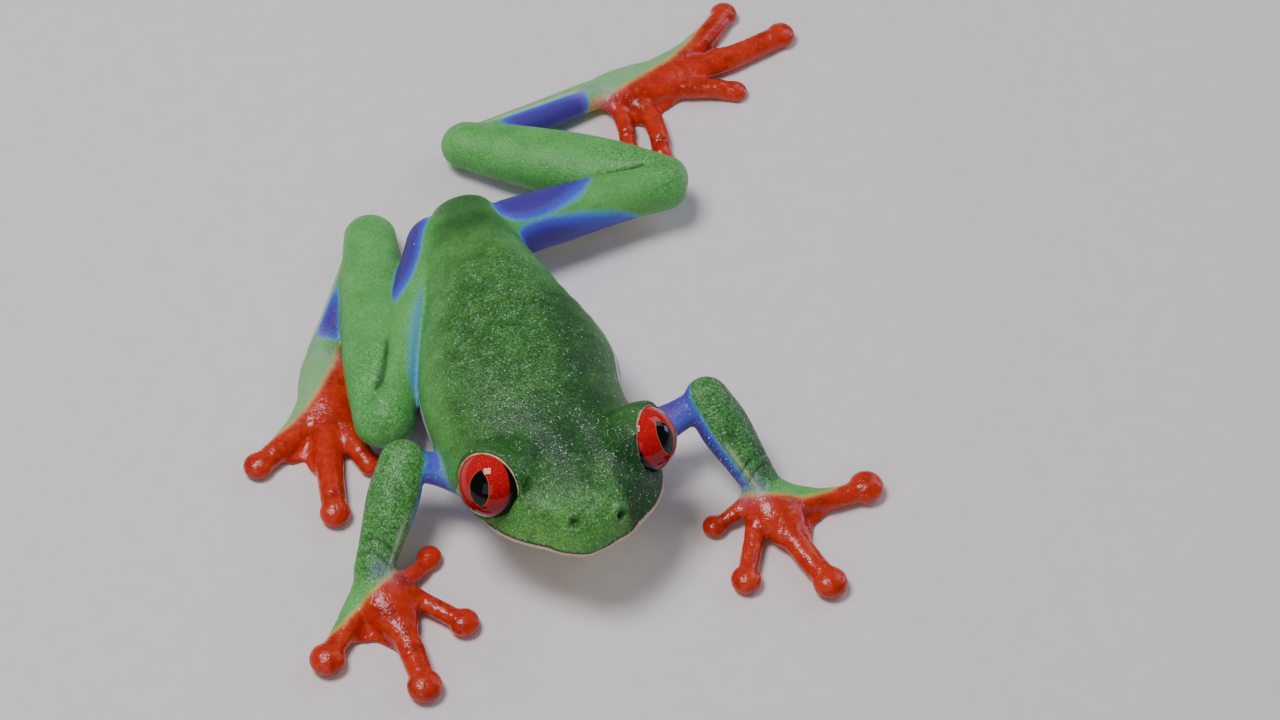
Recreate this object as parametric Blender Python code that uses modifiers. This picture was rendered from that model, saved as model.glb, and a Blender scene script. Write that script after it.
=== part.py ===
"""A red-eyed tree frog at life size: still, standing on the floor (z = 0) with its snout towards -Y.

Lengths are in millimetres and become metres when a mesh is made. A heading is an angle in degrees
from +X, turning towards +Y. The frog's right side is at -X.
"""

import math

import bmesh
import bpy
import numpy as np
from mathutils import Matrix, Vector

MM = 0.001
GAP = 0.3  # clear space that parts two neighbouring nodes
FLAT = 0.15  # how deep a pad or the belly presses into the floor before it is cut flat

# ---- the body, from snout to vent -------------------------------------------------------------
# name: (place along Y, half width, height of the back, height of the belly, height of the widest line)
BODY = {
    "lip": (-37.4, 1.9, 13.4, 10.5, 11.8),
    "nostril": (-35.2, 4.8, 15.0, 9.3, 11.3),
    "snout": (-32.0, 8.6, 15.9, 7.9, 10.6),
    "eye": (-27.5, 11.1, 16.4, 6.3, 9.6),
    "ear": (-22.5, 12.3, 16.7, 5.1, 9.0),
    "shoulder": (-16.0, 12.7, 17.0, 3.8, 8.6),
    "chest": (-9.0, 12.4, 16.6, 2.0, 8.0),
    "ribs": (-2.0, 11.0, 15.4, -FLAT, 7.4),
    "waist": (5.0, 8.9, 13.8, -FLAT, 7.0),
    "hip": (11.5, 7.1, 11.9, -FLAT, 6.5),
    "rump": (16.8, 5.8, 10.4, 1.2, 6.4),
    "tail_end": (20.2, 3.5, 9.0, 3.8, 6.6),
}
SNOUT_TIP = (-38.1, 12.1)  # Y and height
VENT = (21.6, 6.9)
BODY_SQUARENESS = 2.25  # 2 is an ellipse, more is boxier
BODY_BOW = 1.6  # the waist lies this far to the right of the line from snout to vent
BOW_LAG = 1.6  # over 1, the bow is deepest behind the middle
HEAD_ROLL = 3.5  # degrees: the head leans towards the frog's right
HEAD_PIVOT = 9.6  # height of the line that it rolls about
BODY_SIDES = 26
BODY_RINGS = 22
NECK_Y = -19.0  # where the head is parted from the trunk

# ---- the eyes -----------------------------------------------------------------------------------
EYE_RADIUS = 4.05
EYE_CENTRE = (8.95, -26.3, 14.2)  # of the left eye
EYE_LOOKS = (0.72, -0.46, 0.52)
EYE_GAP = 0.2
LID_THICKNESS = 0.5
LID_SETBACK = 0.1  # the lids' edge lies this far behind the eye's middle

# ---- the limbs' joints and bones ----------------------------------------------------------------
SHOULDER = (7.0, -20.8, 6.0)  # of the left side
HIP = (4.7, 15.5, 6.5)
HEIGHT = {"elbow": 9.4, "wrist": 2.9, "knee": 5.7, "heel": 3.3, "ankle": 1.9, "pad": 1.2}

# name: (length on the right, length on the left)
BONE = {
    "upper_arm": (11.8, 12.6),
    "forearm": (13.3, 11.9),
    "thigh": (27.3, 20.9),
    "shank": (30.9, 26.5),
    "tarsus": (17.6, 18.6),
}
FINGER = {"right": (7.6, 12.2, 15.9, 11.9), "left": (7.5, 12.8, 15.2, 12.6)}
TOE = {"right": (9.7, 13.1, 17.2, 23.4, 17.8), "left": (9.6, 13.3, 18.9, 27.4, 23.2)}
FINGER_PAD = (1.5, 1.85, 2.1, 2.15)  # half widths
TOE_PAD = (1.25, 1.4, 1.5, 1.9, 1.8)
FINGER_HALF = (1.0, 1.15, 1.35, 1.25)
TOE_HALF = (1.0, 1.2, 1.3, 1.5, 1.35)

HEADING = {
    "right": {
        "upper_arm": 163, "forearm": -124, "thigh": -118.4, "shank": 80.5, "tarsus": -121,
        "fingers": (13, -45, -83, -131), "toes": (-38, -54, -85.5, -101, -130.5),
    },
    "left": {
        "upper_arm": 8, "forearm": -66.5, "thigh": 6, "shank": 144.3, "tarsus": 14.7,
        "fingers": (-157, -116.5, -76.5, -14), "toes": (-76.5, -63.5, -12, 7.5, 24),
    },
}
# Each digit runs from the root of its hand or foot towards this point before it turns to its tip:
# (along the axis of the longest digit, across towards the outer edge)
HAND_BEND = {
    "right": ((3.0, -3.2), (4.8, -4.0), (8.0, -1.0), (4.4, 4.8)),
    "left": ((1.5, -3.8), (4.8, -3.8), (8.0, -0.8), (5.8, 4.2)),
}
FOOT_BEND = {
    "right": ((4.0, -1.5), (8.0, -1.5), (11.0, -0.5), (12.0, 0.7), (11.0, 1.8)),
    "left": ((4.0, -1.8), (8.5, -1.8), (10.0, -1.6), (15.0, -2.4), (15.0, 0.0)),
}

# name: half widths at the near joint, at a quarter, at three quarters and at the far joint,
# then the height of the section as a share of its width
GIRTH = {
    "upper_arm": (3.7, 2.9, 1.9, 2.3, 0.85),
    "forearm": (2.8, 3.1, 2.55, 2.3, 0.86),
    "thigh": (3.8, 3.7, 3.0, 2.6, 0.95),
    "shank": (3.1, 3.85, 3.8, 3.15, 0.78),
    "tarsus": (2.1, 1.9, 1.75, 1.8, 0.88),
    "palm": (2.2, 2.3, 2.4, 1.9, 0.6),
    "sole": (1.9, 2.1, 2.3, 2.0, 0.62),
}
LIMB_SIDES = 12
FOLD_SHIFT = {"knee": 1.5, "heel": 0.6}  # the shank takes this much of its neighbours' side of each fold

# ---- hands and feet -------------------------------------------------------------------------------
WEB_THICKNESS = 1.0
# how far a web reaches along the digit before it and along the digit after it
HAND_WEB = ((0.5, 0.42), (0.6, 0.52), (0.73, 0.82))
FOOT_WEB = ((0.7, 0.56), (0.72, 0.7), (0.78, 0.53), (0.68, 0.78))
WEB_DIP = 0.1  # how far the web's free edge sags between two digits, as a share of its reach
PALM_SHARE = 0.42  # the palm or sole reaches this far along the longest digit
DIGIT_CUT = {"finger": (0.68, 0.72, 0.8, 0.88), "toe": (0.8, 0.81, 0.85, 0.76, 0.86)}
DIGIT_SIDES = 12
SLAB_MARGIN = 1.1  # a cut across a digit is this much wider than the digit
FUSE_VOXEL = 0.3
TRIANGLES = {"hand": 600, "foot": 760}

PIVOT = Vector((0, 0, HEAD_PIVOT))
GREEN = "3F8F3A"
SKIN = {
    "back": ("leaf_green_skin", GREEN),
    "shank": ("mint_green_skin", "5DAA5A"),
    "flank": ("violet_blue_skin", "4A4FB0"),
    "digits": ("orange_red_skin", "E23A17"),
    "eye": ("red_eye", "D31910"),
}


def clear_scene():
    for obj in list(bpy.data.objects):
        bpy.data.objects.remove(obj, do_unlink=True)


def new_collection(name):
    collection = bpy.data.collections.new(name)
    bpy.context.scene.collection.children.link(collection)
    return collection


def skin_material(kind):
    name, hex_colour = SKIN[kind]
    material = bpy.data.materials.get(name)
    if material is None:
        material = bpy.data.materials.new(name)
        material.use_nodes = True
        shader = material.node_tree.nodes["Principled BSDF"]
        srgb = [int(hex_colour[i : i + 2], 16) / 255 for i in (0, 2, 4)]
        shader.inputs["Base Color"].default_value = (*[c**2.2 for c in srgb], 1.0)
        shader.inputs["Roughness"].default_value = 0.12 if kind == "eye" else 0.4
    return material


def mirrored(point, side):
    """The point on this side, given the one on the left."""
    return Vector((point[0] if side == "left" else -point[0], point[1], point[2]))


def step(start, length, heading, height):
    """The end of a bone of this length that leaves start at a heading and ends at a height."""
    rise = height - start.z
    run = math.sqrt(length**2 - rise**2)
    turn = math.radians(heading)
    return start + Vector((run * math.cos(turn), run * math.sin(turn), rise))


def smooth_through(places, values, wanted):
    """Catmull-Rom interpolation: a cubic between stations, with slopes from their neighbours."""
    slopes = np.gradient(values, places, axis=0)
    index = np.clip(np.searchsorted(places, wanted) - 1, 0, len(places) - 2)
    span = (places[index + 1] - places[index])[:, None]
    t = (wanted - places[index])[:, None] / span
    return (
        values[index] * (2 * t**3 - 3 * t**2 + 1)
        + values[index + 1] * (3 * t**2 - 2 * t**3)
        + span * slopes[index] * (t**3 - 2 * t**2 + t)
        + span * slopes[index + 1] * (t**3 - t**2)
    )


def loft(rings, first_pole, last_pole):
    """A closed mesh through rings of equal count, drawn to a point at each end."""
    bm = bmesh.new()
    rows = [[bm.verts.new(p) for p in ring] for ring in rings]
    count = len(rows[0])
    for near, far in zip(rows, rows[1:]):
        for k in range(count):
            n = (k + 1) % count
            bm.faces.new((near[k], near[n], far[n], far[k]))
    first = bm.verts.new(first_pole)
    last = bm.verts.new(last_pole)
    for k in range(count):
        n = (k + 1) % count
        bm.faces.new((first, rows[0][n], rows[0][k]))
        bm.faces.new((last, rows[-1][k], rows[-1][n]))
    bmesh.ops.recalc_face_normals(bm, faces=bm.faces)
    return bm


def body_shell(grow=0.0):
    """Head and trunk in one: superellipse sections across Y, whose sizes run through BODY."""
    table = np.array(list(BODY.values()))
    spread = 0.5 - 0.5 * np.cos(np.linspace(0.0, math.pi, BODY_RINGS))
    places = table[0, 0] + (table[-1, 0] - table[0, 0]) * (0.35 * spread + 0.65 * np.linspace(0, 1, BODY_RINGS))
    sizes = smooth_through(table[:, 0], table[:, 1:], places)
    turn = np.linspace(0.0, 2 * math.pi, BODY_SIDES, endpoint=False)
    power = 2 / BODY_SQUARENESS
    across = np.sign(np.cos(turn)) * np.abs(np.cos(turn)) ** power
    upward = np.sign(np.sin(turn)) * np.abs(np.sin(turn)) ** power
    rings = []
    for y, (half, back, belly, widest) in zip(places, sizes):
        rise = np.where(upward > 0, back - widest, widest - belly)
        x = (half + grow) * across + bow_at(y)
        z = widest + (rise + grow) * upward
        rings.append([rolled(Vector((a, y, b))) for a, b in zip(x, z)])
    snout = Vector((0, SNOUT_TIP[0] - grow, SNOUT_TIP[1]))
    vent = Vector((0, VENT[0] + grow, VENT[1]))
    return loft(rings, snout, vent)


def rolled(point):
    """The point after the head's roll, which fades out between the ears and the chest."""
    share = min(max((point.y - BODY["ear"][0]) / (BODY["chest"][0] - BODY["ear"][0]), 0.0), 1.0)
    turn = math.radians(HEAD_ROLL) * (1 - share**2 * (3 - 2 * share))
    return Matrix.Rotation(-turn, 3, "Y") @ (point - PIVOT) + PIVOT


def bow_at(y):
    """How far the body's middle line lies from x = 0: one half wave between neck and vent."""
    share = (y - NECK_Y) / (VENT[0] - NECK_Y)
    return -BODY_BOW * math.sin(math.pi * min(max(share, 0.0), 1.0) ** BOW_LAG)


def oval(centre, side, up, half_width, half_height, count):
    return [
        centre
        + side * half_width * math.cos(2 * math.pi * k / count)
        + up * half_height * math.sin(2 * math.pi * k / count)
        for k in range(count)
    ]


def limb(start, end, girth):
    """A limb's segment: ovals along the bone, rounded over past both joints."""
    *halves, flatness = girth
    axis = (end - start).normalized()
    side = axis.cross(Vector((0, 0, 1))).normalized()
    up = side.cross(axis)
    length = (end - start).length
    knots = np.array([0.0, 0.25, 0.75, 1.0]) * length
    along = np.linspace(0.0, length, 7)
    wide = smooth_through(knots, np.array(halves)[:, None], along)[:, 0]
    stations = [(-halves[0] * math.cos(a), halves[0] * math.sin(a)) for a in (0.45, 0.95)]
    stations += list(zip(along, wide))
    stations += [(length + halves[-1] * math.cos(a), halves[-1] * math.sin(a)) for a in (0.95, 0.45)]
    rings = [oval(start + axis * s, side, up, w, w * flatness, LIMB_SIDES) for s, w in stations]
    return loft(rings, start - axis * halves[0], end + axis * halves[-1])


def cut(bm, point, normal):
    """Cuts away what lies on the normal's side of a plane and closes the mesh there."""
    geometry = bm.verts[:] + bm.edges[:] + bm.faces[:]
    bmesh.ops.bisect_plane(bm, geom=geometry, plane_co=point, plane_no=normal, clear_outer=True)
    open_edges = [edge for edge in bm.edges if edge.is_boundary]
    bmesh.ops.holes_fill(bm, edges=open_edges, sides=0)
    return bm


def part_at_joint(joint, here, there, shift=0.0):
    """The plane that halves a bend, as seen from the piece towards here: a point and its normal.

    A shift moves the plane towards the neighbour, so that this piece takes more of the fold.
    """
    normal = ((there - joint).normalized() - (here - joint).normalized()).normalized()
    return joint + normal * (shift - GAP / 2), normal


def finish(bm, name, collection, kind):
    """Puts the mesh into the scene as the object name, in metres."""
    bm.transform(Matrix.Scale(MM, 4))
    mesh = bpy.data.meshes.new(name)
    bm.to_mesh(mesh)
    bm.free()
    mesh.shade_smooth()
    obj = bpy.data.objects.new(name, mesh)
    collection.objects.link(obj)
    obj.data.materials.append(skin_material(kind))
    return obj


def as_cutter(obj):
    obj.hide_render = True
    obj.display_type = "WIRE"
    return obj


def boolean(obj, cutter, operation):
    """Applies an exact Boolean to the object's mesh."""
    modifier = obj.modifiers.new(operation.lower(), "BOOLEAN")
    modifier.operation = operation
    modifier.solver = "EXACT"
    modifier.object = cutter
    apply_modifiers(obj)


def apply_modifiers(obj):
    bpy.context.view_layer.update()
    graph = bpy.context.evaluated_depsgraph_get()
    mesh = bpy.data.meshes.new_from_object(obj.evaluated_get(graph))
    obj.modifiers.clear()
    old = obj.data
    obj.data = mesh
    bpy.data.meshes.remove(old)


def ball(centre, radius):
    bm = bmesh.new()
    bmesh.ops.create_uvsphere(bm, u_segments=16, v_segments=10, radius=radius)
    bm.transform(Matrix.Translation(centre))
    return bm


def on_path(path, t):
    """The point of a digit's path at t, from 0 at the root to 1 at the tip (a quadratic Bezier curve)."""
    start, bend, tip = path
    return start * (1 - t) ** 2 + bend * 2 * t * (1 - t) + tip * t**2


def path_heading(path, t):
    start, bend, tip = path
    heading = (bend - start) * (1 - t) + (tip - bend) * t
    heading.z = 0
    return heading.normalized()


def digit(path, half, pad):
    """A finger or toe with its round pad: the section swells from the digit's half width to the pad's."""
    length = sum((on_path(path, (k + 1) / 8) - on_path(path, k / 8)).length for k in range(8))
    around_pad = [length + pad * math.cos(a) for a in (2.3, 1.9, 1.5, 1.1, 0.7, 0.35)]
    stations = list(np.linspace(0.0, length - pad, 7)) + [s for s in around_pad if s > length - pad]
    rings = []
    for s in sorted(stations):
        t = s / length
        centre = on_path(path, min(t, 1.0)) + path_heading(path, 1.0) * max(s - length, 0.0)
        heading = path_heading(path, min(t, 1.0))
        side = Vector((heading.y, -heading.x, 0))
        bulb = math.sqrt(max(pad**2 - (s - length) ** 2, 0.0))
        width = max(half * (1.12 - 0.12 * t), bulb) if s < length else bulb
        height = max(half * 0.88, bulb * 0.7) if s < length else bulb * 0.7
        centre.z = max(height - FLAT, centre.z) if s < length - pad else pad * 0.7 - FLAT
        rings.append(oval(centre, side, Vector((0, 0, 1)), width, height, DIGIT_SIDES))
    last = on_path(path, 1.0) + path_heading(path, 1.0) * pad
    last.z = pad * 0.7 - FLAT
    return loft(rings, path[0], last)


def web(first, second, reaches):
    """The skin between two digits: a flat plate whose free edge sags from one digit to the other."""
    near = [on_path(first, t) for t in np.linspace(0.0, reaches[0], 6)]
    far = [on_path(second, t) for t in np.linspace(reaches[1], 0.0, 6)]
    edge = [near[-1].lerp(far[0], t) for t in np.linspace(0.0, 1.0, 7)[1:-1]]
    sag = [WEB_DIP * math.sin(math.pi * t) for t in np.linspace(0.0, 1.0, 7)[1:-1]]
    edge = [point.lerp(first[0], share) for point, share in zip(edge, sag)]
    bm = bmesh.new()
    outline = [bm.verts.new((p.x, p.y, -FLAT)) for p in near + edge + far[:-1]]
    face = bm.faces.new(outline)
    made = bmesh.ops.extrude_face_region(bm, geom=[face])["geom"]
    risen = [item for item in made if isinstance(item, bmesh.types.BMVert)]
    bmesh.ops.translate(bm, verts=risen, vec=(0, 0, WEB_THICKNESS))
    bmesh.ops.recalc_face_normals(bm, faces=bm.faces)
    return bm


def fuse(pieces, triangles):
    """Closed pieces that overlap, made one by a voxel remesh, smoothed and thinned out."""
    joined = bpy.data.meshes.new("fused")
    bm = bmesh.new()
    for piece in pieces:
        holder = bpy.data.meshes.new("piece")
        piece.to_mesh(holder)
        piece.free()
        bm.from_mesh(holder)
        bpy.data.meshes.remove(holder)
    bm.to_mesh(joined)
    bm.free()
    obj = bpy.data.objects.new("fused", joined)
    bpy.context.scene.collection.objects.link(obj)
    remesh = obj.modifiers.new("remesh", "REMESH")
    remesh.mode = "VOXEL"
    remesh.voxel_size = FUSE_VOXEL
    smooth = obj.modifiers.new("smooth", "SMOOTH")
    smooth.iterations = 4
    apply_modifiers(obj)
    thin = obj.modifiers.new("thin", "DECIMATE")
    thin.ratio = triangles / (2 * len(obj.data.polygons))
    apply_modifiers(obj)
    bm = bmesh.new()
    bm.from_mesh(obj.data)
    bpy.data.objects.remove(obj)
    return bm


def islands(mesh):
    """The mesh's separate bodies, each as a bmesh of its own."""
    whole = bmesh.new()
    whole.from_mesh(mesh)
    whole.verts.ensure_lookup_table()
    left = set(range(len(whole.verts)))
    bodies = []
    while left:
        body = set()
        queue = [left.pop()]
        while queue:
            index = queue.pop()
            body.add(index)
            for edge in whole.verts[index].link_edges:
                other = edge.other_vert(whole.verts[index]).index
                if other in left:
                    left.discard(other)
                    queue.append(other)
        bodies.append(body)
    whole.free()
    pieces = []
    for body in bodies:
        piece = bmesh.new()
        piece.from_mesh(mesh)
        piece.verts.ensure_lookup_table()
        rest = [v for v in piece.verts if v.index not in body]
        bmesh.ops.delete(piece, geom=rest, context="VERTS")
        pieces.append(piece)
    return pieces


def centre_of(bm):
    return sum((v.co for v in bm.verts), Vector()) / len(bm.verts)


def block_behind(point, normal, half):
    """A cube whose one face lies on the plane, on its normal's side."""
    bm = bmesh.new()
    bmesh.ops.create_cube(bm, size=2 * half)
    bm.transform(Matrix.Translation((0, 0, half)))
    bm.transform(normal.to_track_quat("Z", "Y").to_matrix().to_4x4())
    bm.transform(Matrix.Translation(point))
    return bm


def extremity(side, kind, root, wrist_plane, parts, helpers):
    """A hand or a foot: digits, webs and palm fused, then parted by thin cuts across each digit."""
    hand = kind == "finger"
    lengths = (FINGER if hand else TOE)[side]
    halves, pads = (FINGER_HALF, FINGER_PAD) if hand else (TOE_HALF, TOE_PAD)
    headings = HEADING[side]["fingers" if hand else "toes"]
    longest = 2 if hand else 3
    tips = [step(root, length, heading, HEIGHT["pad"]) for length, heading in zip(lengths, headings)]
    axis = (tips[longest] - root).to_2d().normalized()
    outward = Vector((-axis.y, axis.x)) * (1 if side == "left" else -1)
    paths = []
    for tip, (along, across) in zip(tips, (HAND_BEND if hand else FOOT_BEND)[side]):
        bend = (root.to_2d() + axis * along + outward * across).to_3d()
        bend.z = HEIGHT["pad"]
        paths.append((root, bend, tip))
    pieces = [digit(path, half, pad) for path, half, pad in zip(paths, halves, pads)]
    for first, second, reaches in zip(paths, paths[1:], HAND_WEB if hand else FOOT_WEB):
        pieces.append(web(first, second, reaches))
    reach = on_path(paths[longest], PALM_SHARE)
    pieces.append(limb(root, reach, GIRTH["palm" if hand else "sole"]))
    whole = fuse(pieces, TRIANGLES["hand" if hand else "foot"])
    cut(whole, Vector((0, 0, 0)), Vector((0, 0, -1)))
    name = f"palm_{side}" if hand else f"sole_{side}"
    obj = finish(whole, name, parts, "digits")
    slabs = block_behind(*wrist_plane, GIRTH["palm"][0] * 1.6)
    for path, half, share in zip(paths, halves, DIGIT_CUT[kind]):
        heading = path_heading(path, share)
        frame = Matrix.Rotation(math.atan2(heading.y, heading.x), 4, "Z")
        made = bmesh.ops.create_cube(slabs, size=1.0)["verts"]
        bmesh.ops.scale(slabs, verts=made, vec=(GAP, 2 * half + SLAB_MARGIN, 8.0))
        bmesh.ops.transform(slabs, verts=made, matrix=Matrix.Translation(on_path(path, share)) @ frame)
    cutter = as_cutter(finish(slabs, f"{name}_slabs", helpers, "digits"))
    boolean(obj, cutter, "DIFFERENCE")
    palm, *bodies = sorted(islands(obj.data), key=lambda bm: len(bm.verts), reverse=True)
    palm.to_mesh(obj.data)
    palm.free()
    for k, tip in enumerate(tips):
        nearest = min(bodies, key=lambda bm: (centre_of(bm) - tip * MM).length)
        bodies.remove(nearest)
        nearest.transform(Matrix.Scale(1 / MM, 4))
        finish(nearest, f"{kind}_{k + 1}_{side}", parts, "digits")
    return obj


def side_factor(side):
    return 1 if side == "left" else 0


def arm(side, parts, helpers, clearance):
    which = side_factor(side)
    turns = HEADING[side]
    shoulder = mirrored(SHOULDER, side)
    elbow = step(shoulder, BONE["upper_arm"][which], turns["upper_arm"], HEIGHT["elbow"])
    wrist = step(elbow, BONE["forearm"][which], turns["forearm"], HEIGHT["wrist"])
    grasp = step(wrist, FINGER[side][2], turns["fingers"][2], HEIGHT["pad"])
    upper = cut(limb(shoulder, elbow, GIRTH["upper_arm"]), *part_at_joint(elbow, shoulder, wrist))
    upper = finish(upper, f"upper_arm_{side}", parts, "flank")
    boolean(upper, clearance, "DIFFERENCE")
    fore = limb(elbow, wrist, GIRTH["forearm"])
    cut(fore, *part_at_joint(elbow, wrist, shoulder))
    cut(fore, *part_at_joint(wrist, elbow, grasp))
    finish(fore, f"forearm_{side}", parts, "back")
    extremity(side, "finger", wrist, part_at_joint(wrist, grasp, elbow), parts, helpers)


def leg(side, parts, helpers, clearance):
    which = side_factor(side)
    turns = HEADING[side]
    hip = mirrored(HIP, side)
    knee = step(hip, BONE["thigh"][which], turns["thigh"], HEIGHT["knee"])
    heel = step(knee, BONE["shank"][which], turns["shank"], HEIGHT["heel"])
    ankle = step(heel, BONE["tarsus"][which], turns["tarsus"], HEIGHT["ankle"])
    toe = step(ankle, TOE[side][3], turns["toes"][3], HEIGHT["pad"])
    thigh = cut(limb(hip, knee, GIRTH["thigh"]), *part_at_joint(knee, hip, heel, -FOLD_SHIFT["knee"]))
    thigh = finish(thigh, f"thigh_{side}", parts, "flank")
    boolean(thigh, clearance, "DIFFERENCE")
    shank = limb(knee, heel, GIRTH["shank"])
    cut(shank, *part_at_joint(knee, heel, hip, FOLD_SHIFT["knee"]))
    cut(shank, *part_at_joint(heel, knee, ankle, FOLD_SHIFT["heel"]))
    finish(shank, f"shank_{side}", parts, "shank")
    tarsus = limb(heel, ankle, GIRTH["tarsus"])
    cut(tarsus, *part_at_joint(heel, ankle, knee, -FOLD_SHIFT["heel"]))
    cut(tarsus, *part_at_joint(ankle, heel, toe))
    finish(tarsus, f"tarsus_{side}", parts, "shank")
    extremity(side, "toe", ankle, part_at_joint(ankle, toe, heel), parts, helpers)


def head_and_trunk(parts, helpers):
    """The body's shell, with a cup round each eye, parted at the neck."""
    head = finish(cut(body_shell(), Vector((0, NECK_Y - GAP / 2, 0)), Vector((0, 1, 0))), "head", parts, "back")
    trunk = cut(body_shell(), Vector((0, NECK_Y + GAP / 2, 0)), Vector((0, -1, 0)))
    cut(trunk, Vector((0, 0, 0)), Vector((0, 0, -1)))
    finish(trunk, "trunk", parts, "back")
    for side in ("left", "right"):
        centre = rolled(mirrored(EYE_CENTRE, side))
        looks = mirrored(EYE_LOOKS, side).normalized()
        cup = ball(centre, EYE_RADIUS + EYE_GAP + LID_THICKNESS)
        cut(cup, centre - looks * LID_SETBACK, looks)
        cup = as_cutter(finish(cup, f"orbit_{side}", helpers, "back"))
        boolean(head, cup, "UNION")
        socket = as_cutter(finish(ball(centre, EYE_RADIUS + EYE_GAP), f"socket_{side}", helpers, "back"))
        boolean(head, socket, "DIFFERENCE")
        finish(ball(centre, EYE_RADIUS), f"eye_{side}", parts, "eye")


def main():
    clear_scene()
    parts = new_collection("red_eyed_tree_frog")
    helpers = new_collection("cutters")
    head_and_trunk(parts, helpers)
    clearance = as_cutter(finish(body_shell(GAP), "body_clearance", helpers, "back"))
    for side in ("right", "left"):
        arm(side, parts, helpers, clearance)
        leg(side, parts, helpers, clearance)
    helpers.hide_render = True


main()
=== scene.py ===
# %% [markdown]
# # The looks of a red-eyed tree frog
#
# The frame holds the frog's solids: a head, a trunk, two eyes, and four limbs parted at their
# joints. A living frog shows none of those partings, because one skin runs over everything but the
# eyes. This lesson makes that skin, its paint, the eyes with their lids, and a plain studio.
#
# Lengths are worked out in millimetres, and each mesh is turned to metres as it is made. The snout
# points towards -Y, up is +Z, and the frog's left side is at +X.

# %% Load the frame
import math

import bpy
import numpy as np
from mathutils import Matrix, Vector


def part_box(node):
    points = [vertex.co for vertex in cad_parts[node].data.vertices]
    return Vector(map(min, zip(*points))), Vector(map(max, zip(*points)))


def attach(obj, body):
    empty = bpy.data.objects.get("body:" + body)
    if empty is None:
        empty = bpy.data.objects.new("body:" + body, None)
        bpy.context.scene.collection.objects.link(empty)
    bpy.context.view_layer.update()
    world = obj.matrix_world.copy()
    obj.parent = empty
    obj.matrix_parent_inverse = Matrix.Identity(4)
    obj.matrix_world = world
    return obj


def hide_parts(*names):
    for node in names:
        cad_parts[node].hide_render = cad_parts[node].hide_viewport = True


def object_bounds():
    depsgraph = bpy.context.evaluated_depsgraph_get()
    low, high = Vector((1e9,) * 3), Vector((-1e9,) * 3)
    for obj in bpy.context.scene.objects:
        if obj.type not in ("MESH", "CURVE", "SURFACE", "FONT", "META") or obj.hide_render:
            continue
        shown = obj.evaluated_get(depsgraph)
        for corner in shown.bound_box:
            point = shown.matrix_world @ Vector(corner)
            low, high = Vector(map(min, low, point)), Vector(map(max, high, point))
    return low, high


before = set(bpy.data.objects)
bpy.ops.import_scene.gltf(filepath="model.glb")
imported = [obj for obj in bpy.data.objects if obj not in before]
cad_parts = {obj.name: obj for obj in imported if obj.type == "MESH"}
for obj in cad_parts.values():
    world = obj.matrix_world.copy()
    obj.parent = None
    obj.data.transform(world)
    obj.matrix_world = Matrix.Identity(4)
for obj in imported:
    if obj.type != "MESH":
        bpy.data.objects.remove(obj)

MM = 0.001
SIDES = ("right", "left")
FLOOR_Z = 0.0

cad_box = [[float(value) for value in corner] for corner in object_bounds()]
print("solids reach, mm:", [[round(value / MM, 2) for value in corner] for corner in cad_box])

# %% [markdown]
# ## The shape that the skin follows
#
# A skin lies on what it covers, so it starts from the same few sizes that drive the solids: the
# body's sections from snout to vent, the length and girth of each bone, and where each digit goes.
# The frame can give a node's box, but not a bone's middle line, so those sizes are repeated here.
# A few were made truer after the solids: fuller thighs, shanks and webs, and a right shank turned
# by two degrees. A later cell measures how far the finished skin lies from the solids.

# %% Sizes of the body
# place along Y, half width, height of the back, of the belly, and of the widest line
BODY = np.array(
    [
        (-37.4, 1.9, 13.4, 10.5, 11.8),  # lip
        (-35.2, 4.8, 15.0, 9.3, 11.3),  # nostril
        (-32.0, 8.6, 15.9, 7.9, 10.6),  # snout
        (-27.5, 11.1, 16.4, 6.3, 9.6),  # eye
        (-22.5, 12.3, 16.7, 5.1, 9.0),  # ear
        (-16.0, 12.7, 17.0, 3.8, 8.6),  # shoulder
        (-9.0, 12.4, 16.6, 2.0, 8.0),  # chest
        (-2.0, 11.0, 15.4, -0.15, 7.4),  # ribs
        (5.0, 8.9, 13.8, -0.15, 7.0),  # waist
        (11.5, 7.1, 11.9, -0.15, 6.5),  # hip
        (16.8, 5.8, 10.4, 1.2, 6.4),  # rump
        (20.2, 3.5, 9.0, 3.8, 6.6),  # tail end
    ]
)
SNOUT_TIP = (-38.1, 12.1)  # place along Y, and height
VENT = (21.6, 6.9)
BODY_SQUARENESS = 2.25  # the power of its sections' superellipse; 2 would be an ellipse
BODY_BOW = 1.6  # how far the waist bows to the frog's right
BOW_LAG = 1.6  # over 1, the bow peaks behind its middle
HEAD_ROLL = 3.5  # degrees
HEAD_PIVOT = 9.6  # height of the line that the head rolls about
NECK_Y = -19.0
EAR_Y = -22.5
CHEST_Y = -9.0
print("body sections:", len(BODY), "  snout to vent, mm:", VENT[0] - SNOUT_TIP[0])

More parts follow.
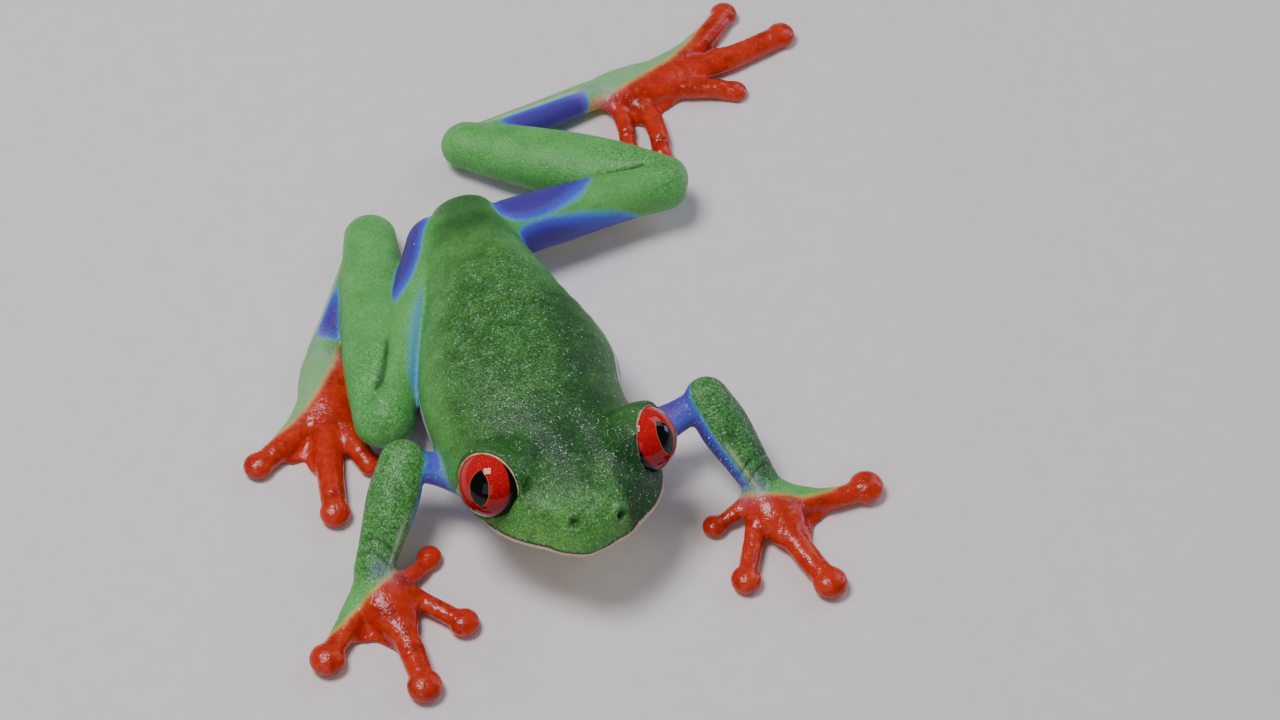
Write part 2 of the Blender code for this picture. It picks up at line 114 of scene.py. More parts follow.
# %% Sizes of the limbs
SHOULDER = (7.0, -20.8, 6.0)
HIP = (4.7, 15.5, 6.5)
HEIGHT = {"elbow": 9.4, "wrist": 2.9, "knee": 5.7, "heel": 3.3, "ankle": 1.9, "pad": 1.2}
BONE = {  # length on the right, on the left
    "upper_arm": (11.8, 12.6),
    "forearm": (13.3, 11.9),
    "thigh": (27.3, 20.9),
    "shank": (30.9, 26.5),
    "tarsus": (18.0, 18.6),
}
HEADING = {  # degrees from +X towards +Y
    "right": {"upper_arm": 163, "forearm": -124, "thigh": -118.4, "shank": 78.8, "tarsus": -123.4},
    "left": {"upper_arm": 8, "forearm": -66.5, "thigh": 6, "shank": 144.3, "tarsus": 14.7},
}
GIRTH = {  # half widths at the near joint, a quarter, three quarters and the far joint, then flatness
    "upper_arm": (4.0, 3.3, 2.0, 2.3, 0.82),
    "forearm": (2.8, 3.1, 2.55, 2.3, 0.86),
    "thigh": (3.8, 3.7, 3.3, 3.5, 0.95),
    "shank": (3.75, 4.45, 4.1, 3.3, 0.8),
    "tarsus": (2.3, 2.25, 2.1, 2.1, 0.84),
    "palm": (2.3, 2.9, 3.1, 2.5, 0.56),
    "sole": (2.2, 3.0, 3.3, 2.7, 0.52),
}
BLUNT = {"thigh": (1.0, 0.8), "shank": (0.8, 1.0)}  # how far a joint's ball stands out past the joint
left_leg = sum(BONE[bone][1] for bone in ("thigh", "shank", "tarsus"))
print("bones a side:", len(BONE), "  left leg's length, mm:", round(left_leg, 1))

# %% Sizes of the hands and feet
# Each digit: (length, heading, bend along the hand's axis, bend across towards its outer edge)
HAND = {
    "right": (
        (7.6, 13, 3.0, -3.2),
        (12.2, -45, 4.8, -4.0),
        (15.9, -83, 8.0, -1.0),
        (11.9, -131, 4.4, 4.8),
    ),
    "left": (
        (7.5, -157, 1.5, -3.8),
        (12.8, -116.5, 4.8, -3.8),
        (15.2, -76.5, 8.0, -0.8),
        (12.6, -14, 5.8, 4.2),
    ),
}
FOOT = {
    "right": (
        (9.7, -38, 4.0, -1.5),
        (13.1, -54, 8.0, -1.5),
        (17.2, -85.5, 11.0, -0.5),
        (23.4, -101, 12.0, 0.7),
        (17.8, -130.5, 11.0, 1.8),
    ),
    "left": (
        (9.6, -76.5, 4.0, -1.8),
        (13.3, -63.5, 8.5, -1.8),
        (18.9, -12, 10.0, -1.6),
        (27.4, 7.5, 15.0, -2.4),
        (23.2, 24, 15.0, 0.0),
    ),
}
ENDS = {
    "hand": {
        "digits": HAND,
        "halves": (1.05, 1.2, 1.5, 1.35),
        "pads": (1.5, 1.85, 2.1, 2.15),
        # how far each web reaches along the digit before it, and along the digit after it
        "webs": ((0.52, 0.42), (0.56, 0.5), (0.7, 0.74)),
        "flesh": "palm",
        "longest": 2,
    },
    "foot": {
        "digits": FOOT,
        "halves": (1.1, 1.3, 1.4, 1.6, 1.5),
        "pads": (1.25, 1.4, 1.5, 1.9, 1.8),
        "webs": ((0.8, 0.68), (0.8, 0.68), (0.78, 0.58), (0.84, 0.92)),
        "flesh": "sole",
        "longest": 3,
    },
}
PALM_SHARE = 0.42  # how far palm and sole reach along the longest digit
FLAT = 0.15  # what presses into the floor before it is flattened
print("digits:", sum(len(digits) for end in ENDS.values() for digits in end["digits"].values()))

# %% [markdown]
# ## Two tools for surfaces
#
# Every form here is a closed tube: rings of points along a line, each ring an oval or a rounder or
# squarer one, drawn to a point at both ends. The sizes along the line come from a few stations, and
# a cubic runs through them, so that a limb swells and narrows without corners. Blender's curves with
# a bevel make tubes too, but the same formulas will tell later how far a point is from each form.


# %% Cubics and distances
def smooth_through(places, values, wanted):
    """A cubic between neighbouring stations (Hermite), its slope at each the mean of both sides'."""
    slopes = np.gradient(values, places, axis=0)
    index = np.clip(np.searchsorted(places, wanted) - 1, 0, len(places) - 2)
    span = (places[index + 1] - places[index])[:, None]
    t = np.clip((wanted - places[index])[:, None] / span, 0, 1)
    return (
        values[index] * (2 * t**3 - 3 * t**2 + 1)
        + values[index + 1] * (3 * t**2 - 2 * t**3)
        + span * slopes[index] * (t**3 - 2 * t**2 + t)
        + span * slopes[index + 1] * (t**3 - t**2)
    )


def smoothstep(low, high, value):
    """0 below low, 1 above high, and 3t^2 - 2t^3 between them."""
    t = np.clip((value - low) / (high - low), 0, 1)
    return t * t * (3 - 2 * t)


def unit(vector):
    """The vector at length 1, along the last axis."""
    return vector / np.linalg.norm(vector, axis=-1, keepdims=True)


def near_line(points, start, end):
    """Distance from each point to the segment between two places."""
    start, end = np.asarray(start, float), np.asarray(end, float)
    span = end - start
    share = np.clip((points - start) @ span / (span @ span), 0, 1)
    return np.linalg.norm(points - start - share[:, None] * span, axis=1)


print("smoothstep at a half:", float(smoothstep(0, 1, np.array(0.5))))


# %% Closed tubes
def closed_tube(rings, first, last):
    """Rings (rows x sides x 3) joined by quads: corner (i, k) meets (i, k+1), (i+1, k+1), (i+1, k).
    A fan of triangles closes each end at its pole. Gives points, and blocks of faces as arrays."""
    rows, sides = rings.shape[:2]
    here = np.arange(sides)
    beside = np.roll(here, -1)
    row = (np.arange(rows - 1) * sides)[:, None]
    quads = np.stack([row + here, row + beside, row + sides + beside, row + sides + here], axis=-1)
    start = np.stack([np.full(sides, rows * sides), beside, here], axis=-1)
    final = (rows - 1) * sides
    end = np.stack([np.full(sides, rows * sides + 1), final + here, final + beside], axis=-1)
    points = np.concatenate([rings.reshape(-1, 3), [first], [last]])
    return points, [quads.reshape(-1, 4), start, end]


def ovals(centres, side, up, half_width, half_height, count):
    """One oval a row: centre + side * a * cos(v) + up * b * sin(v), for v once round."""
    v = np.linspace(0, 2 * math.pi, count, endpoint=False)[None, :, None]
    across = side * half_width[:, None]
    upward = up * half_height[:, None]
    return centres[:, None] + across[:, None] * np.cos(v) + upward[:, None] * np.sin(v)


ring = ovals(np.zeros((1, 3)), np.eye(3)[:1], np.eye(3)[2:], np.array([2.0]), np.array([1.0]), 4)
print("four corners of an oval:", ring[0].round(3).tolist())

# %% [markdown]
# ## The body
#
# Head and trunk are one long form. Its sections are superellipses, a little boxier than an ellipse,
# as a tree frog's back is broad and its sides fall steeply. The upper and lower halves have their
# own heights, and the widest line runs between them. This frog leans its head a few degrees to its
# right and bows its waist, so a roll and a bow are laid over the straight form. It also carries its
# shoulders a little to the right and draws its flanks in, as a skin with no bone under it can.


# %% The body's bow and roll
# place along Y, how far the skin lies to the left of the solids, and the share of their width it has
POSTURE = np.array(
    [
        (-38.0, 0.0, 1.0),
        (-26.5, 0.0, 1.0),
        (-24.0, -0.35, 0.985),
        (-21.0, -1.3, 0.945),
        (-18.0, -1.8, 0.92),
        (-15.0, -1.7, 0.93),
        (-10.5, -1.05, 0.97),
        (-4.0, -0.25, 0.96),
        (1.0, 0.25, 0.92),
        (6.0, 0.6, 0.91),
        (12.0, 0.25, 0.96),
        (17.0, 0.0, 1.0),
        (22.0, 0.0, 1.0),
    ]
)


def bow_at(y):
    """How far the middle line lies from x = 0: half a sine wave between neck and vent, late to peak,
    and the posture's own shift."""
    share = np.clip((y - NECK_Y) / (VENT[0] - NECK_Y), 0, 1)
    shift = smooth_through(POSTURE[:, 0], POSTURE[:, 1:2], y)[:, 0]
    return shift - BODY_BOW * np.sin(math.pi * share**BOW_LAG)


def rolled(points, direction=1):
    """Turns each point about a line along Y at HEAD_PIVOT, by HEAD_ROLL ahead of the ears and by
    less and less behind them. A direction of -1 undoes it."""
    share = smoothstep(EAR_Y, CHEST_Y, points[..., 1])
    turn = -direction * math.radians(HEAD_ROLL) * (1 - share)
    x, rise = points[..., 0], points[..., 2] - HEAD_PIVOT
    across = x * np.cos(turn) + rise * np.sin(turn)
    upward = -x * np.sin(turn) + rise * np.cos(turn) + HEAD_PIVOT
    return np.stack([across, points[..., 1], upward], axis=-1)


print("the waist's middle line lies at x, mm:", bow_at(np.array([0.0])).round(2))


# %% The body's surface
def body_sizes(y):
    """Half width and the heights of back, belly and widest line at each y, by the cubic."""
    half, top, bottom, widest = smooth_through(BODY[:, 0], BODY[:, 1:], y).T
    half = half * smooth_through(POSTURE[:, 0], POSTURE[:, 2:], y)[:, 0]
    return np.stack([half, top, bottom, widest])


def body_surface(rows=170, sides=128):
    """The body: |x/a|^n + |z/c|^n = 1 at each y, with a the half width and c the height above or
    below the widest line. Past the first and last station the sizes shrink as a square root."""
    nose, tail = BODY[0, 0] - SNOUT_TIP[0], VENT[0] - BODY[-1, 0]
    front = SNOUT_TIP[0] + nose * np.linspace(0.04, 0.9, 6)
    back = VENT[0] - tail * np.linspace(0.9, 0.04, 8)
    y = np.concatenate([front, np.linspace(BODY[0, 0], BODY[-1, 0], rows), back])
    half, top, bottom, widest = body_sizes(y)
    shrink = np.ones_like(y)
    shrink[: len(front)] = np.sqrt((front - SNOUT_TIP[0]) / nose)
    shrink[-len(back) :] = np.sqrt((VENT[0] - back) / tail)
    middle = np.where(y < 0, SNOUT_TIP[1], VENT[1]) * (1 - shrink) + widest * shrink
    turn = np.linspace(0, 2 * math.pi, sides, endpoint=False)
    power = 2 / BODY_SQUARENESS
    across = np.sign(np.cos(turn)) * np.abs(np.cos(turn)) ** power
    upward = np.sign(np.sin(turn)) * np.abs(np.sin(turn)) ** power
    tall = np.where(upward > 0, (top - widest)[:, None], (widest - bottom)[:, None])
    x = (half * shrink)[:, None] * across + bow_at(y)[:, None]
    z = middle[:, None] + tall * shrink[:, None] * upward
    rings = rolled(np.stack([x, np.broadcast_to(y[:, None], x.shape), z], axis=-1))
    tip = rolled(np.array([0, SNOUT_TIP[0], SNOUT_TIP[1]]))
    vent = np.array([0, VENT[0], VENT[1]])
    return closed_tube(rings, tip, vent)


print("body points:", len(body_surface()[0]))

# %% [markdown]
# ## Limbs, digits and webs
#
# A limb's bone is a straight line, and the flesh on it is an oval tube rounded over past both
# joints, so two neighbours overlap into an elbow or a knee. A digit follows a bent line, a quadratic
# Bezier curve from the wrist to its tip, and swells into a round pad. A web is a fleshy sheet
# between two digits, thinnest in its middle, whose free edge sags back towards the hand. The Skin
# modifier could grow all this from a few edges, but its joints are lumpy and its pads not round.


# %% The skeleton
def on_side(point, side):
    """The point as an array, mirrored to the right side where that is asked."""
    return np.array([point[0] if side == "left" else -point[0], point[1], point[2]], float)


def step(start, length, heading, height):
    """The end of a bone of this length that leaves start at a heading and ends at a height."""
    rise = height - start[2]
    run = math.sqrt(length**2 - rise**2)
    turn = math.radians(heading)
    return start + np.array([run * math.cos(turn), run * math.sin(turn), rise])


def chain(side, start, bones, joints):
    """The joints' places along one limb, each a step from the one before."""
    places = [start]
    for bone, joint in zip(bones, joints):
        length = BONE[bone][SIDES.index(side)]
        places.append(step(places[-1], length, HEADING[side][bone], HEIGHT[joint]))
    return places


LIMBS = {  # where each begins, its bones, their far joints, and what it ends in
    "arm": (SHOULDER, ("upper_arm", "forearm"), ("elbow", "wrist"), "hand"),
    "leg": (HIP, ("thigh", "shank", "tarsus"), ("knee", "heel", "ankle"), "foot"),
}
BONES = {}
ROOTS = {}
for side in SIDES:
    for start, bones, joints, end in LIMBS.values():
        places = chain(side, on_side(start, side), bones, joints)
        for bone, ends in zip(bones, zip(places, places[1:])):
            BONES[bone, side] = ends
        ROOTS[end, side] = places[-1]
        print(side, {joint: place.round(1).tolist() for joint, place in zip(joints, places[1:])})


# %% Limbs as tubes
def half_width(halves, length, along):
    """A limb's half width: a cubic through its values at 0, 1/4, 3/4 and all of its length."""
    stations = np.array([0, 0.25, 0.75, 1]) * length
    return smooth_through(stations, np.array(halves)[:, None], along)[:, 0]


def limb_surface(start, end, girth, blunt=(1.0, 1.0), rows=34, sides=40):
    """Ovals along the bone, their half widths a cubic through the girth, and past each joint a
    quarter circle of the joint's own half width, pressed shorter where the joint is blunt."""
    *halves, flatness = girth
    axis = unit(end - start)
    side = unit(np.cross(axis, [0, 0, 1.0]))
    up = np.cross(side, axis)
    length = np.linalg.norm(end - start)
    along = np.linspace(0, length, rows)
    bend = np.linspace(0.12, math.pi / 2, 9)[:-1]
    near, far = halves[0] * blunt[0], halves[-1] * blunt[1]
    s = np.concatenate([-near * np.cos(bend), along, length + far * np.cos(bend[::-1])])
    caps = halves[0] * np.sin(bend), halves[-1] * np.sin(bend[::-1])
    w = np.concatenate([caps[0], half_width(halves, length, along), caps[1]])
    centres = start + s[:, None] * axis
    level, upright = np.tile(side, (len(s), 1)), np.tile(up, (len(s), 1))
    rings = ovals(centres, level, upright, w, w * flatness, sides)
    return closed_tube(rings, start - axis * near, end + axis * far)


print("points a limb:", len(limb_surface(*BONES["thigh", "left"], GIRTH["thigh"])[0]))


# %% Digits as bent tubes
KNUCKLES = (0.42, 0.68)  # shares of a digit's length
DIGIT_FLATNESS = 0.88
PAD_FLATNESS = 0.7


def bezier(path, t):
    """Points of the quadratic curve (1-t)^2 start + 2t(1-t) bend + t^2 tip."""
    start, bend, tip = path
    t = np.asarray(t, float)[..., None]
    return start * (1 - t) ** 2 + bend * 2 * t * (1 - t) + tip * t**2


def bezier_heading(path, t):
    """The curve's direction at t, laid level."""
    start, bend, tip = path
    t = np.asarray(t, float)[..., None]
    heading = (bend - start) * (1 - t) + (tip - bend) * t
    return unit(heading * [1, 1, 0])


def digit_surface(path, half, pad, sides=30):
    """A tube along the path. Its half width eases from 1.35 to 0.97 of the digit's, swells a little
    at two knuckles, and gives way to the pad's circle, sqrt(pad^2 - s^2), round the tip."""
    length = np.linalg.norm(np.diff(bezier(path, np.linspace(0, 1, 30)), axis=0), axis=1).sum()
    ball = length - pad * np.cos(np.linspace(0, math.pi, 30)[:-1])
    s = np.concatenate([np.linspace(0, length - pad, 34)[:-1], ball])
    t = np.clip(s / length, 0, 1)
    heading = bezier_heading(path, t)
    centres = bezier(path, t) + heading * np.maximum(s - length, 0)[:, None]
    bulb = np.sqrt(np.maximum(pad**2 - (s - length) ** 2, 1e-4))
    knuckles = sum(np.exp(-(((t - place) / 0.05) ** 2)) for place in KNUCKLES)
    slim = half * (0.97 + 0.38 * (1 - t) ** 1.5 + 0.06 * knuckles)
    width = np.where(s < length, np.maximum(slim, bulb), bulb)
    domed = bulb * PAD_FLATNESS
    height = np.where(s < length, np.maximum(half * DIGIT_FLATNESS, domed), domed)
    lifted = np.maximum(height - FLAT, centres[:, 2])
    centres[:, 2] = np.where(s < length - pad, lifted, pad * PAD_FLATNESS - FLAT)
    side = np.stack([heading[:, 1], -heading[:, 0], np.zeros(len(s))], axis=1)
    rings = ovals(centres, side, np.tile([0, 0, 1.0], (len(s), 1)), width, height, sides)
    last = centres[-1] + heading[-1] * (pad * 0.02)
    return closed_tube(rings, path[0], last)


straight = [np.array([place, 0.0, HEIGHT["pad"]]) for place in (0.0, 5.0, 10.0)]
print("points a digit:", len(digit_surface(straight, 1.5, 2.1)[0]))

# %% Webs
WEB_ROOT = 1.9  # the web's thickness at the hand, mm
WEB_EDGE = 1.35  # at its free edge, beside a digit
WEB_MIDDLE = 0.75  # at its free edge, halfway between two digits
WEB_SAG = 0.2  # how much of the way back to the hand its middle sags


def web_surface(first, second, reaches, rows=26, across=18):
    """A sheet ruled between two digits: the point (u, v) runs u of the way out along both paths
    and v of the way from one to the other. It is thick at the hand and beside the digits, and thins
    towards the middle of its free edge as u^2."""
    u = np.linspace(0, 1, rows)
    v = np.linspace(0, 1, across)[None, :, None]
    near = bezier(first, u * reaches[0])[:, None]
    far = bezier(second, u * reaches[1])[:, None]
    sheet = near * (1 - v) + far * v
    sheet += (first[0] - sheet) * WEB_SAG * np.sin(math.pi * v) * u[:, None, None]
    top = sheet.copy()
    free = WEB_MIDDLE + (WEB_EDGE - WEB_MIDDLE) * (2 * v[..., 0] - 1) ** 2
    top[..., 2] = WEB_ROOT + (free - WEB_ROOT) * u[:, None] ** 2
    bottom = sheet[:, ::-1].copy()
    bottom[..., 2] = -FLAT
    rings = np.concatenate([top, bottom], axis=1)
    return closed_tube(rings, rings[0].mean(axis=0), rings[-1].mean(axis=0))


print("a web's thickness at its free edge's middle, mm:", WEB_MIDDLE + FLAT)

# %% Paths of all digits
PATHS = {}
for kind, made in ENDS.items():
    for side in SIDES:
        root = ROOTS[kind, side]
        digits = made["digits"][side]
        tips = [step(root, length, heading, HEIGHT["pad"]) for length, heading, *_ in digits]
        axis = unit((tips[made["longest"]] - root) * [1, 1, 0])
        outward = np.array([-axis[1], axis[0], 0]) * (1 if side == "left" else -1)
        paths = []
        for tip, (*_, along, aside) in zip(tips, digits):
            bend = root * [1, 1, 0] + axis * along + outward * aside
            bend[2] = HEIGHT["pad"]
            paths.append((root, bend, tip))
        PATHS[kind, side] = paths
        print(kind, side, "tips, mm:", [tuple(tip[:2].round(1).tolist()) for tip in tips])

# %% [markdown]
# ## The eyes' places and their orbits
#
# A tree frog's eyeball bulges clear of its head, and the skin climbs round it as a low cup that ends
# in the lids. The solids hold each eye as a ball, so its box gives the centre and radius. The cup is
# a turned shape round the way that the lids open: outside, a slightly bigger ball; at its mouth, a
# small round lip; inside, a floor hidden within the eyeball. The lids open more to the side than the
# pupil looks, and this frog's head is turned a little, so its two lids don't open quite alike.

# %% Where the eyes sit
LIDS_OPEN = {"right": (-0.69, -0.59, 0.42), "left": (0.81, -0.47, 0.35)}
GAZE = (0.57, -0.55, 0.61)
IRIS_FACES = (0.79, -0.32, 0.52)  # the iris stands further to the side than its pupil
PUPIL_LEAN = 19  # degrees that the pupil's top leans away from the middle of the head
LID_AHEAD = 0.9  # the lids' edge stands this far ahead of the eyeball's middle, mm
LID = 0.45  # the lids' thickness
LID_GAP = 0.12  # between lid and eyeball
CUP_FLOOR = ((3.2, 0.2), (1.8, -0.3))  # radius and height of two rings hidden in the eyeball


def axes_along(looks, lean=0.0):
    """Three directions: across, upright and ahead; a lean turns the first two about the third."""
    looks = unit(np.array(looks, float))
    upright = unit(np.array([0, 0, 1.0]) - looks * looks[2])
    across = np.cross(upright, looks)
    turn = math.radians(lean)
    leaning = math.cos(turn) * upright + math.sin(turn) * across
    return np.array([np.cross(leaning, looks), leaning, looks])


EYES = {}
for side in SIDES:
    low, high = (np.array(corner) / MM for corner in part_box(f"eye_{side}"))
    EYES[side] = {
        "centre": (low + high) / 2,
        "radius": (high[2] - low[2]) / 2,
        "axes": axes_along(LIDS_OPEN[side]),
        "iris": unit(on_side(IRIS_FACES, side)),
        "gaze": axes_along(on_side(GAZE, side), PUPIL_LEAN if side == "left" else -PUPIL_LEAN),
    }
    print(side, "eye centre", EYES[side]["centre"].round(2), "radius", round(EYES[side]["radius"], 2))


# %% Turned shapes round an eye's axis
def turned(eye, radii, heights, axes, sides=72):
    """A profile (radius r, height h along an axis) carried once round that axis."""
    across, upright, looks = axes
    v = np.linspace(0, 2 * math.pi, sides, endpoint=False)[None, :, None]
    radial = across * np.cos(v) + upright * np.sin(v)
    return eye["centre"] + radii[:, None, None] * radial + heights[:, None, None] * looks


def orbit_surface(eye):
    """The cup: a sphere from its back pole to its mouth at the angle m, where cos(m) = LID_AHEAD over
    the eye's radius; a half circle for the lip, on that angle's cone; a floor inside."""
    outer = eye["radius"] + LID_GAP + LID
    mouth = math.acos(LID_AHEAD / eye["radius"])
    back = np.linspace(math.pi * 0.97, mouth + 0.04, 28)
    lip = np.linspace(0, math.pi, 9)
    reach = outer - LID / 2 + LID / 2 * np.cos(lip)
    ahead = LID / 2 * np.sin(lip)
    lip_radius = reach * math.sin(mouth) - ahead * math.cos(mouth)
    lip_height = reach * math.cos(mouth) + ahead * math.sin(mouth)
    floor_radius, floor_height = zip(*CUP_FLOOR)
    radii = np.concatenate([outer * np.sin(back), lip_radius, floor_radius])
    heights = np.concatenate([outer * np.cos(back), lip_height, floor_height])
    rings = turned(eye, radii, heights, eye["axes"])
    looks = eye["axes"][2]
    return closed_tube(rings, eye["centre"] - looks * outer, eye["centre"] - looks * 0.5)


print("orbit points:", len(orbit_surface(EYES["left"])[0]))

# %% [markdown]
# ## One skin over all of it
#
# The forms are laid into one mesh as they are, overlapping, and a voxel remesh gives back only their
# common outer surface: one closed skin, with the same small quads everywhere. Booleans would keep a
# sharp seam round every joint, and metaballs would swell wherever two forms come near each other. The
# remeshed skin is slightly stepped, so it is relaxed with numpy: each point moves towards its
# neighbours' mean and then away from it again, which takes out the steps and keeps thin fingers thick.

# %% Gather the forms
VOXEL = 0.27  # mm; fine enough for the lids and the webs' edges


def flesh():
    """All the overlapping closed forms under the skin."""
    forms = [body_surface()]
    forms += [orbit_surface(eye) for eye in EYES.values()]
    for (name, _), (start, end) in BONES.items():
        forms.append(limb_surface(start, end, GIRTH[name], BLUNT.get(name, (1.0, 1.0))))
    for (kind, _), paths in PATHS.items():
        made = ENDS[kind]
        forms += [digit_surface(*sizes) for sizes in zip(paths, made["halves"], made["pads"])]
        forms += [web_surface(*sizes) for sizes in zip(paths, paths[1:], made["webs"])]
        reach = bezier(paths[made["longest"]], PALM_SHARE)
        forms.append(limb_surface(paths[0][0], reach, GIRTH[made["flesh"]]))
    return forms


def mesh_from(name, points, blocks):
    """A mesh in metres from points in millimetres and blocks of faces, one row of corners a face."""
    mesh = bpy.data.meshes.new(name)
    mesh.from_pydata(points * MM, [], [face for block in blocks for face in block.tolist()])
    mesh.update()
    return mesh


def object_from(name, mesh):
    """Puts a mesh into the scene, smooth, with its object at the origin."""
    obj = bpy.data.objects.new(name, mesh)
    bpy.context.scene.collection.objects.link(obj)
    mesh.shade_smooth()
    return obj


def apply_modifiers(obj):
    """Replaces the object's mesh by what its modifiers make of it."""
    bpy.context.view_layer.update()
    graph = bpy.context.evaluated_depsgraph_get()
    made = bpy.data.meshes.new_from_object(obj.evaluated_get(graph))
    obj.modifiers.clear()
    old, obj.data = obj.data, made
    bpy.data.meshes.remove(old)


points, blocks, offset = [], [], 0
for form_points, form_blocks in flesh():
    points.append(form_points)
    blocks += [block + offset for block in form_blocks]
    offset += len(form_points)
skin = object_from("skin", mesh_from("skin", np.concatenate(points), blocks))
remesh = skin.modifiers.new("one_surface", "REMESH")
remesh.mode = "VOXEL"
remesh.voxel_size = VOXEL * MM
apply_modifiers(skin)
print("skin quads:", len(skin.data.polygons))


# %% Relax the steps
RELAX_ROUNDS = 6


def mesh_arrays(mesh):
    """The mesh's points in millimetres, its edges, and all its faces' corners in one row."""
    points = np.empty(len(mesh.vertices) * 3)
    mesh.vertices.foreach_get("co", points)
    edges = np.empty(len(mesh.edges) * 2, np.int32)
    mesh.edges.foreach_get("vertices", edges)
    corners = np.empty(len(mesh.loops), np.int32)
    mesh.loops.foreach_get("vertex_index", corners)
    return points.reshape(-1, 3) / MM, edges.reshape(-1, 2), corners


def neighbour_mean(values, edges):
    """The mean of each point's neighbours, summed over the edges."""
    count = np.bincount(edges.ravel(), minlength=len(values))
    columns = []
    for column in values.reshape(len(values), -1).T:
        total = np.bincount(edges[:, 0], column[edges[:, 1]], len(values))
        total += np.bincount(edges[:, 1], column[edges[:, 0]], len(values))
        columns.append(total / np.maximum(count, 1))
    return np.stack(columns, axis=1).reshape(values.shape)


def relaxed(points, edges, rounds, ahead=0.5, back=-0.52):
    """Taubin smoothing: a step towards the neighbours' mean, then a slightly longer one away."""
    for _ in range(rounds):
        points = points + ahead * (neighbour_mean(points, edges) - points)
        points = points + back * (neighbour_mean(points, edges) - points)
    return points


def blended(points, edges, share, rounds):
    """Plain smoothing, with its strength given for each point."""
    for _ in range(rounds):
        points = points + share[:, None] * (neighbour_mean(points, edges) - points)
    return points


def point_normals(points, quads):
    """Each quad's normal is its diagonals' cross product, and a point adds those of its quads."""
    first, second, third, fourth = points[quads.T]
    cross = np.cross(third - first, fourth - second)
    total = np.zeros_like(points)
    for corner in range(4):
        for column in range(3):
            total[:, column] += np.bincount(quads[:, corner], cross[:, column], len(points))
    return unit(total + 1e-12)


points, edges, corners = mesh_arrays(skin.data)
quads = corners.reshape(-1, 4)
points = relaxed(points, edges, RELAX_ROUNDS)
print("skin points:", len(points), "  all faces quads:", len(quads) == len(skin.data.polygons))

# %% [markdown]
# ## Which form does each point belong to?
#
# The folds and the paint follow the body's and the limbs' own lines: how far along a bone a point
# lies, and on which side of it. So every point of the skin is measured against every form: its depth
# under that form's surface, its share of the way along, and its angle round it, where 0 is on top
# and a positive angle is the outer or rear side. Where two forms meet, a point belongs a little to
# both, so that colours run into one another instead of breaking off.


# %% Coordinates along and round each form
def bone_coordinates(points, start, end, girth, side):
    """Share along the bone, distance outside its oval in mm, and the angle round it from the top."""
    *halves, flatness = girth
    axis = unit(end - start)
    length = np.linalg.norm(end - start)
    level = unit(np.cross(axis, [0, 0, 1.0]))
    across = level * (1 if side == "right" else -1)
    upward = np.cross(level, axis)
    rel = points - start
    along = rel @ axis
    radial = rel - np.clip(along, 0, length)[:, None] * axis
    half = half_width(halves, length, along)
    sideways, rise = radial @ across, radial @ upward
    beyond = along - np.clip(along, 0, length)
    outside = np.sqrt(sideways**2 + (rise / flatness) ** 2 + beyond**2) - half
    angle = np.arctan2(sideways, rise)
    return {"share": along / length, "outside": outside, "angle": angle, "half": half}


def path_coordinates(points, path, half, pad):
    """Share along a digit, distance outside it, and how far to its outer side a point lies."""
    t = np.linspace(0, 1, 60)
    line = bezier(path, t)[:, :2]
    heading = bezier_heading(path, t)[:, :2]
    near = np.empty(len(points), int)
    for part in np.array_split(np.arange(len(points)), max(1, len(points) // 4000)):
        gap = points[part, None, :2] - line
        near[part] = (gap**2).sum(axis=2).argmin(axis=1)
    gap = points[:, :2] - line[near]
    flat = np.hypot(*gap.T)
    wide = np.where(t[near] > 0.985, pad, half)
    rise = np.maximum(points[:, 2] - half * 0.9, 0)
    sideways = heading[near, 1] * gap[:, 0] - heading[near, 0] * gap[:, 1]
    return {"share": t[near], "outside": np.hypot(flat, rise) - wide, "aside": sideways}


def body_coordinates(points):
    """The straightened point (roll and bow undone), how far it rises over the widest line, and the
    distance outside the superellipse: its radius less one, times the smaller half size."""
    straight = rolled(points, -1)
    straight[:, 0] -= bow_at(straight[:, 1])
    half, top, bottom, widest = np.maximum(body_sizes(straight[:, 1]), 0.5)
    rise = straight[:, 2] - widest
    tall = np.where(rise > 0, top - widest, widest - bottom)
    power = BODY_SQUARENESS
    size = (np.abs(straight[:, 0] / half) ** power + np.abs(rise / tall) ** power) ** (1 / power)
    beyond = np.maximum(straight[:, 1] - VENT[0], 0) + np.maximum(SNOUT_TIP[0] - straight[:, 1], 0)
    outside = (size - 1) * np.minimum(half, tall) + beyond
    return {"place": straight, "outside": outside, "rise": rise}


above_back = body_coordinates(np.array([[0.0, 0.0, 20.0]]))
print("20 mm over the floor, a place is outside the body by, mm:", above_back["outside"].round(1))

# %% Measure every point against every form
FAR = 9.0  # mm; a point further than this from a form has nothing of it


def measure(points):
    """Every form's coordinates for every point; beyond FAR a form's arrays hold plain far values."""
    found = {("body", ""): body_coordinates(points)}
    for (name, side), (start, end) in BONES.items():
        found[name, side] = bone_coordinates(points, start, end, GIRTH[name], side)
    for (kind, side), paths in PATHS.items():
        made = ENDS[kind]
        for k, (path, half, pad) in enumerate(zip(paths, made["halves"], made["pads"])):
            coordinates = {key: np.full(len(points), FAR) for key in ("share", "outside", "aside")}
            mask = (near_line(points, path[0], path[2]) < FAR) & (points[:, 2] < 6)
            for key, values in path_coordinates(points[mask], path, half, pad).items():
                coordinates[key][mask] = values
            coordinates["aside"] *= 1 if side == "right" else -1
            found[f"{kind}_{k + 1}", side] = coordinates
        reach = bezier(paths[made["longest"]], PALM_SHARE)
        name = made["flesh"]
        found[name, side] = bone_coordinates(points, paths[0][0], reach, GIRTH[name], side)
    return found


BLEND = 0.45  # mm over which two forms share a point


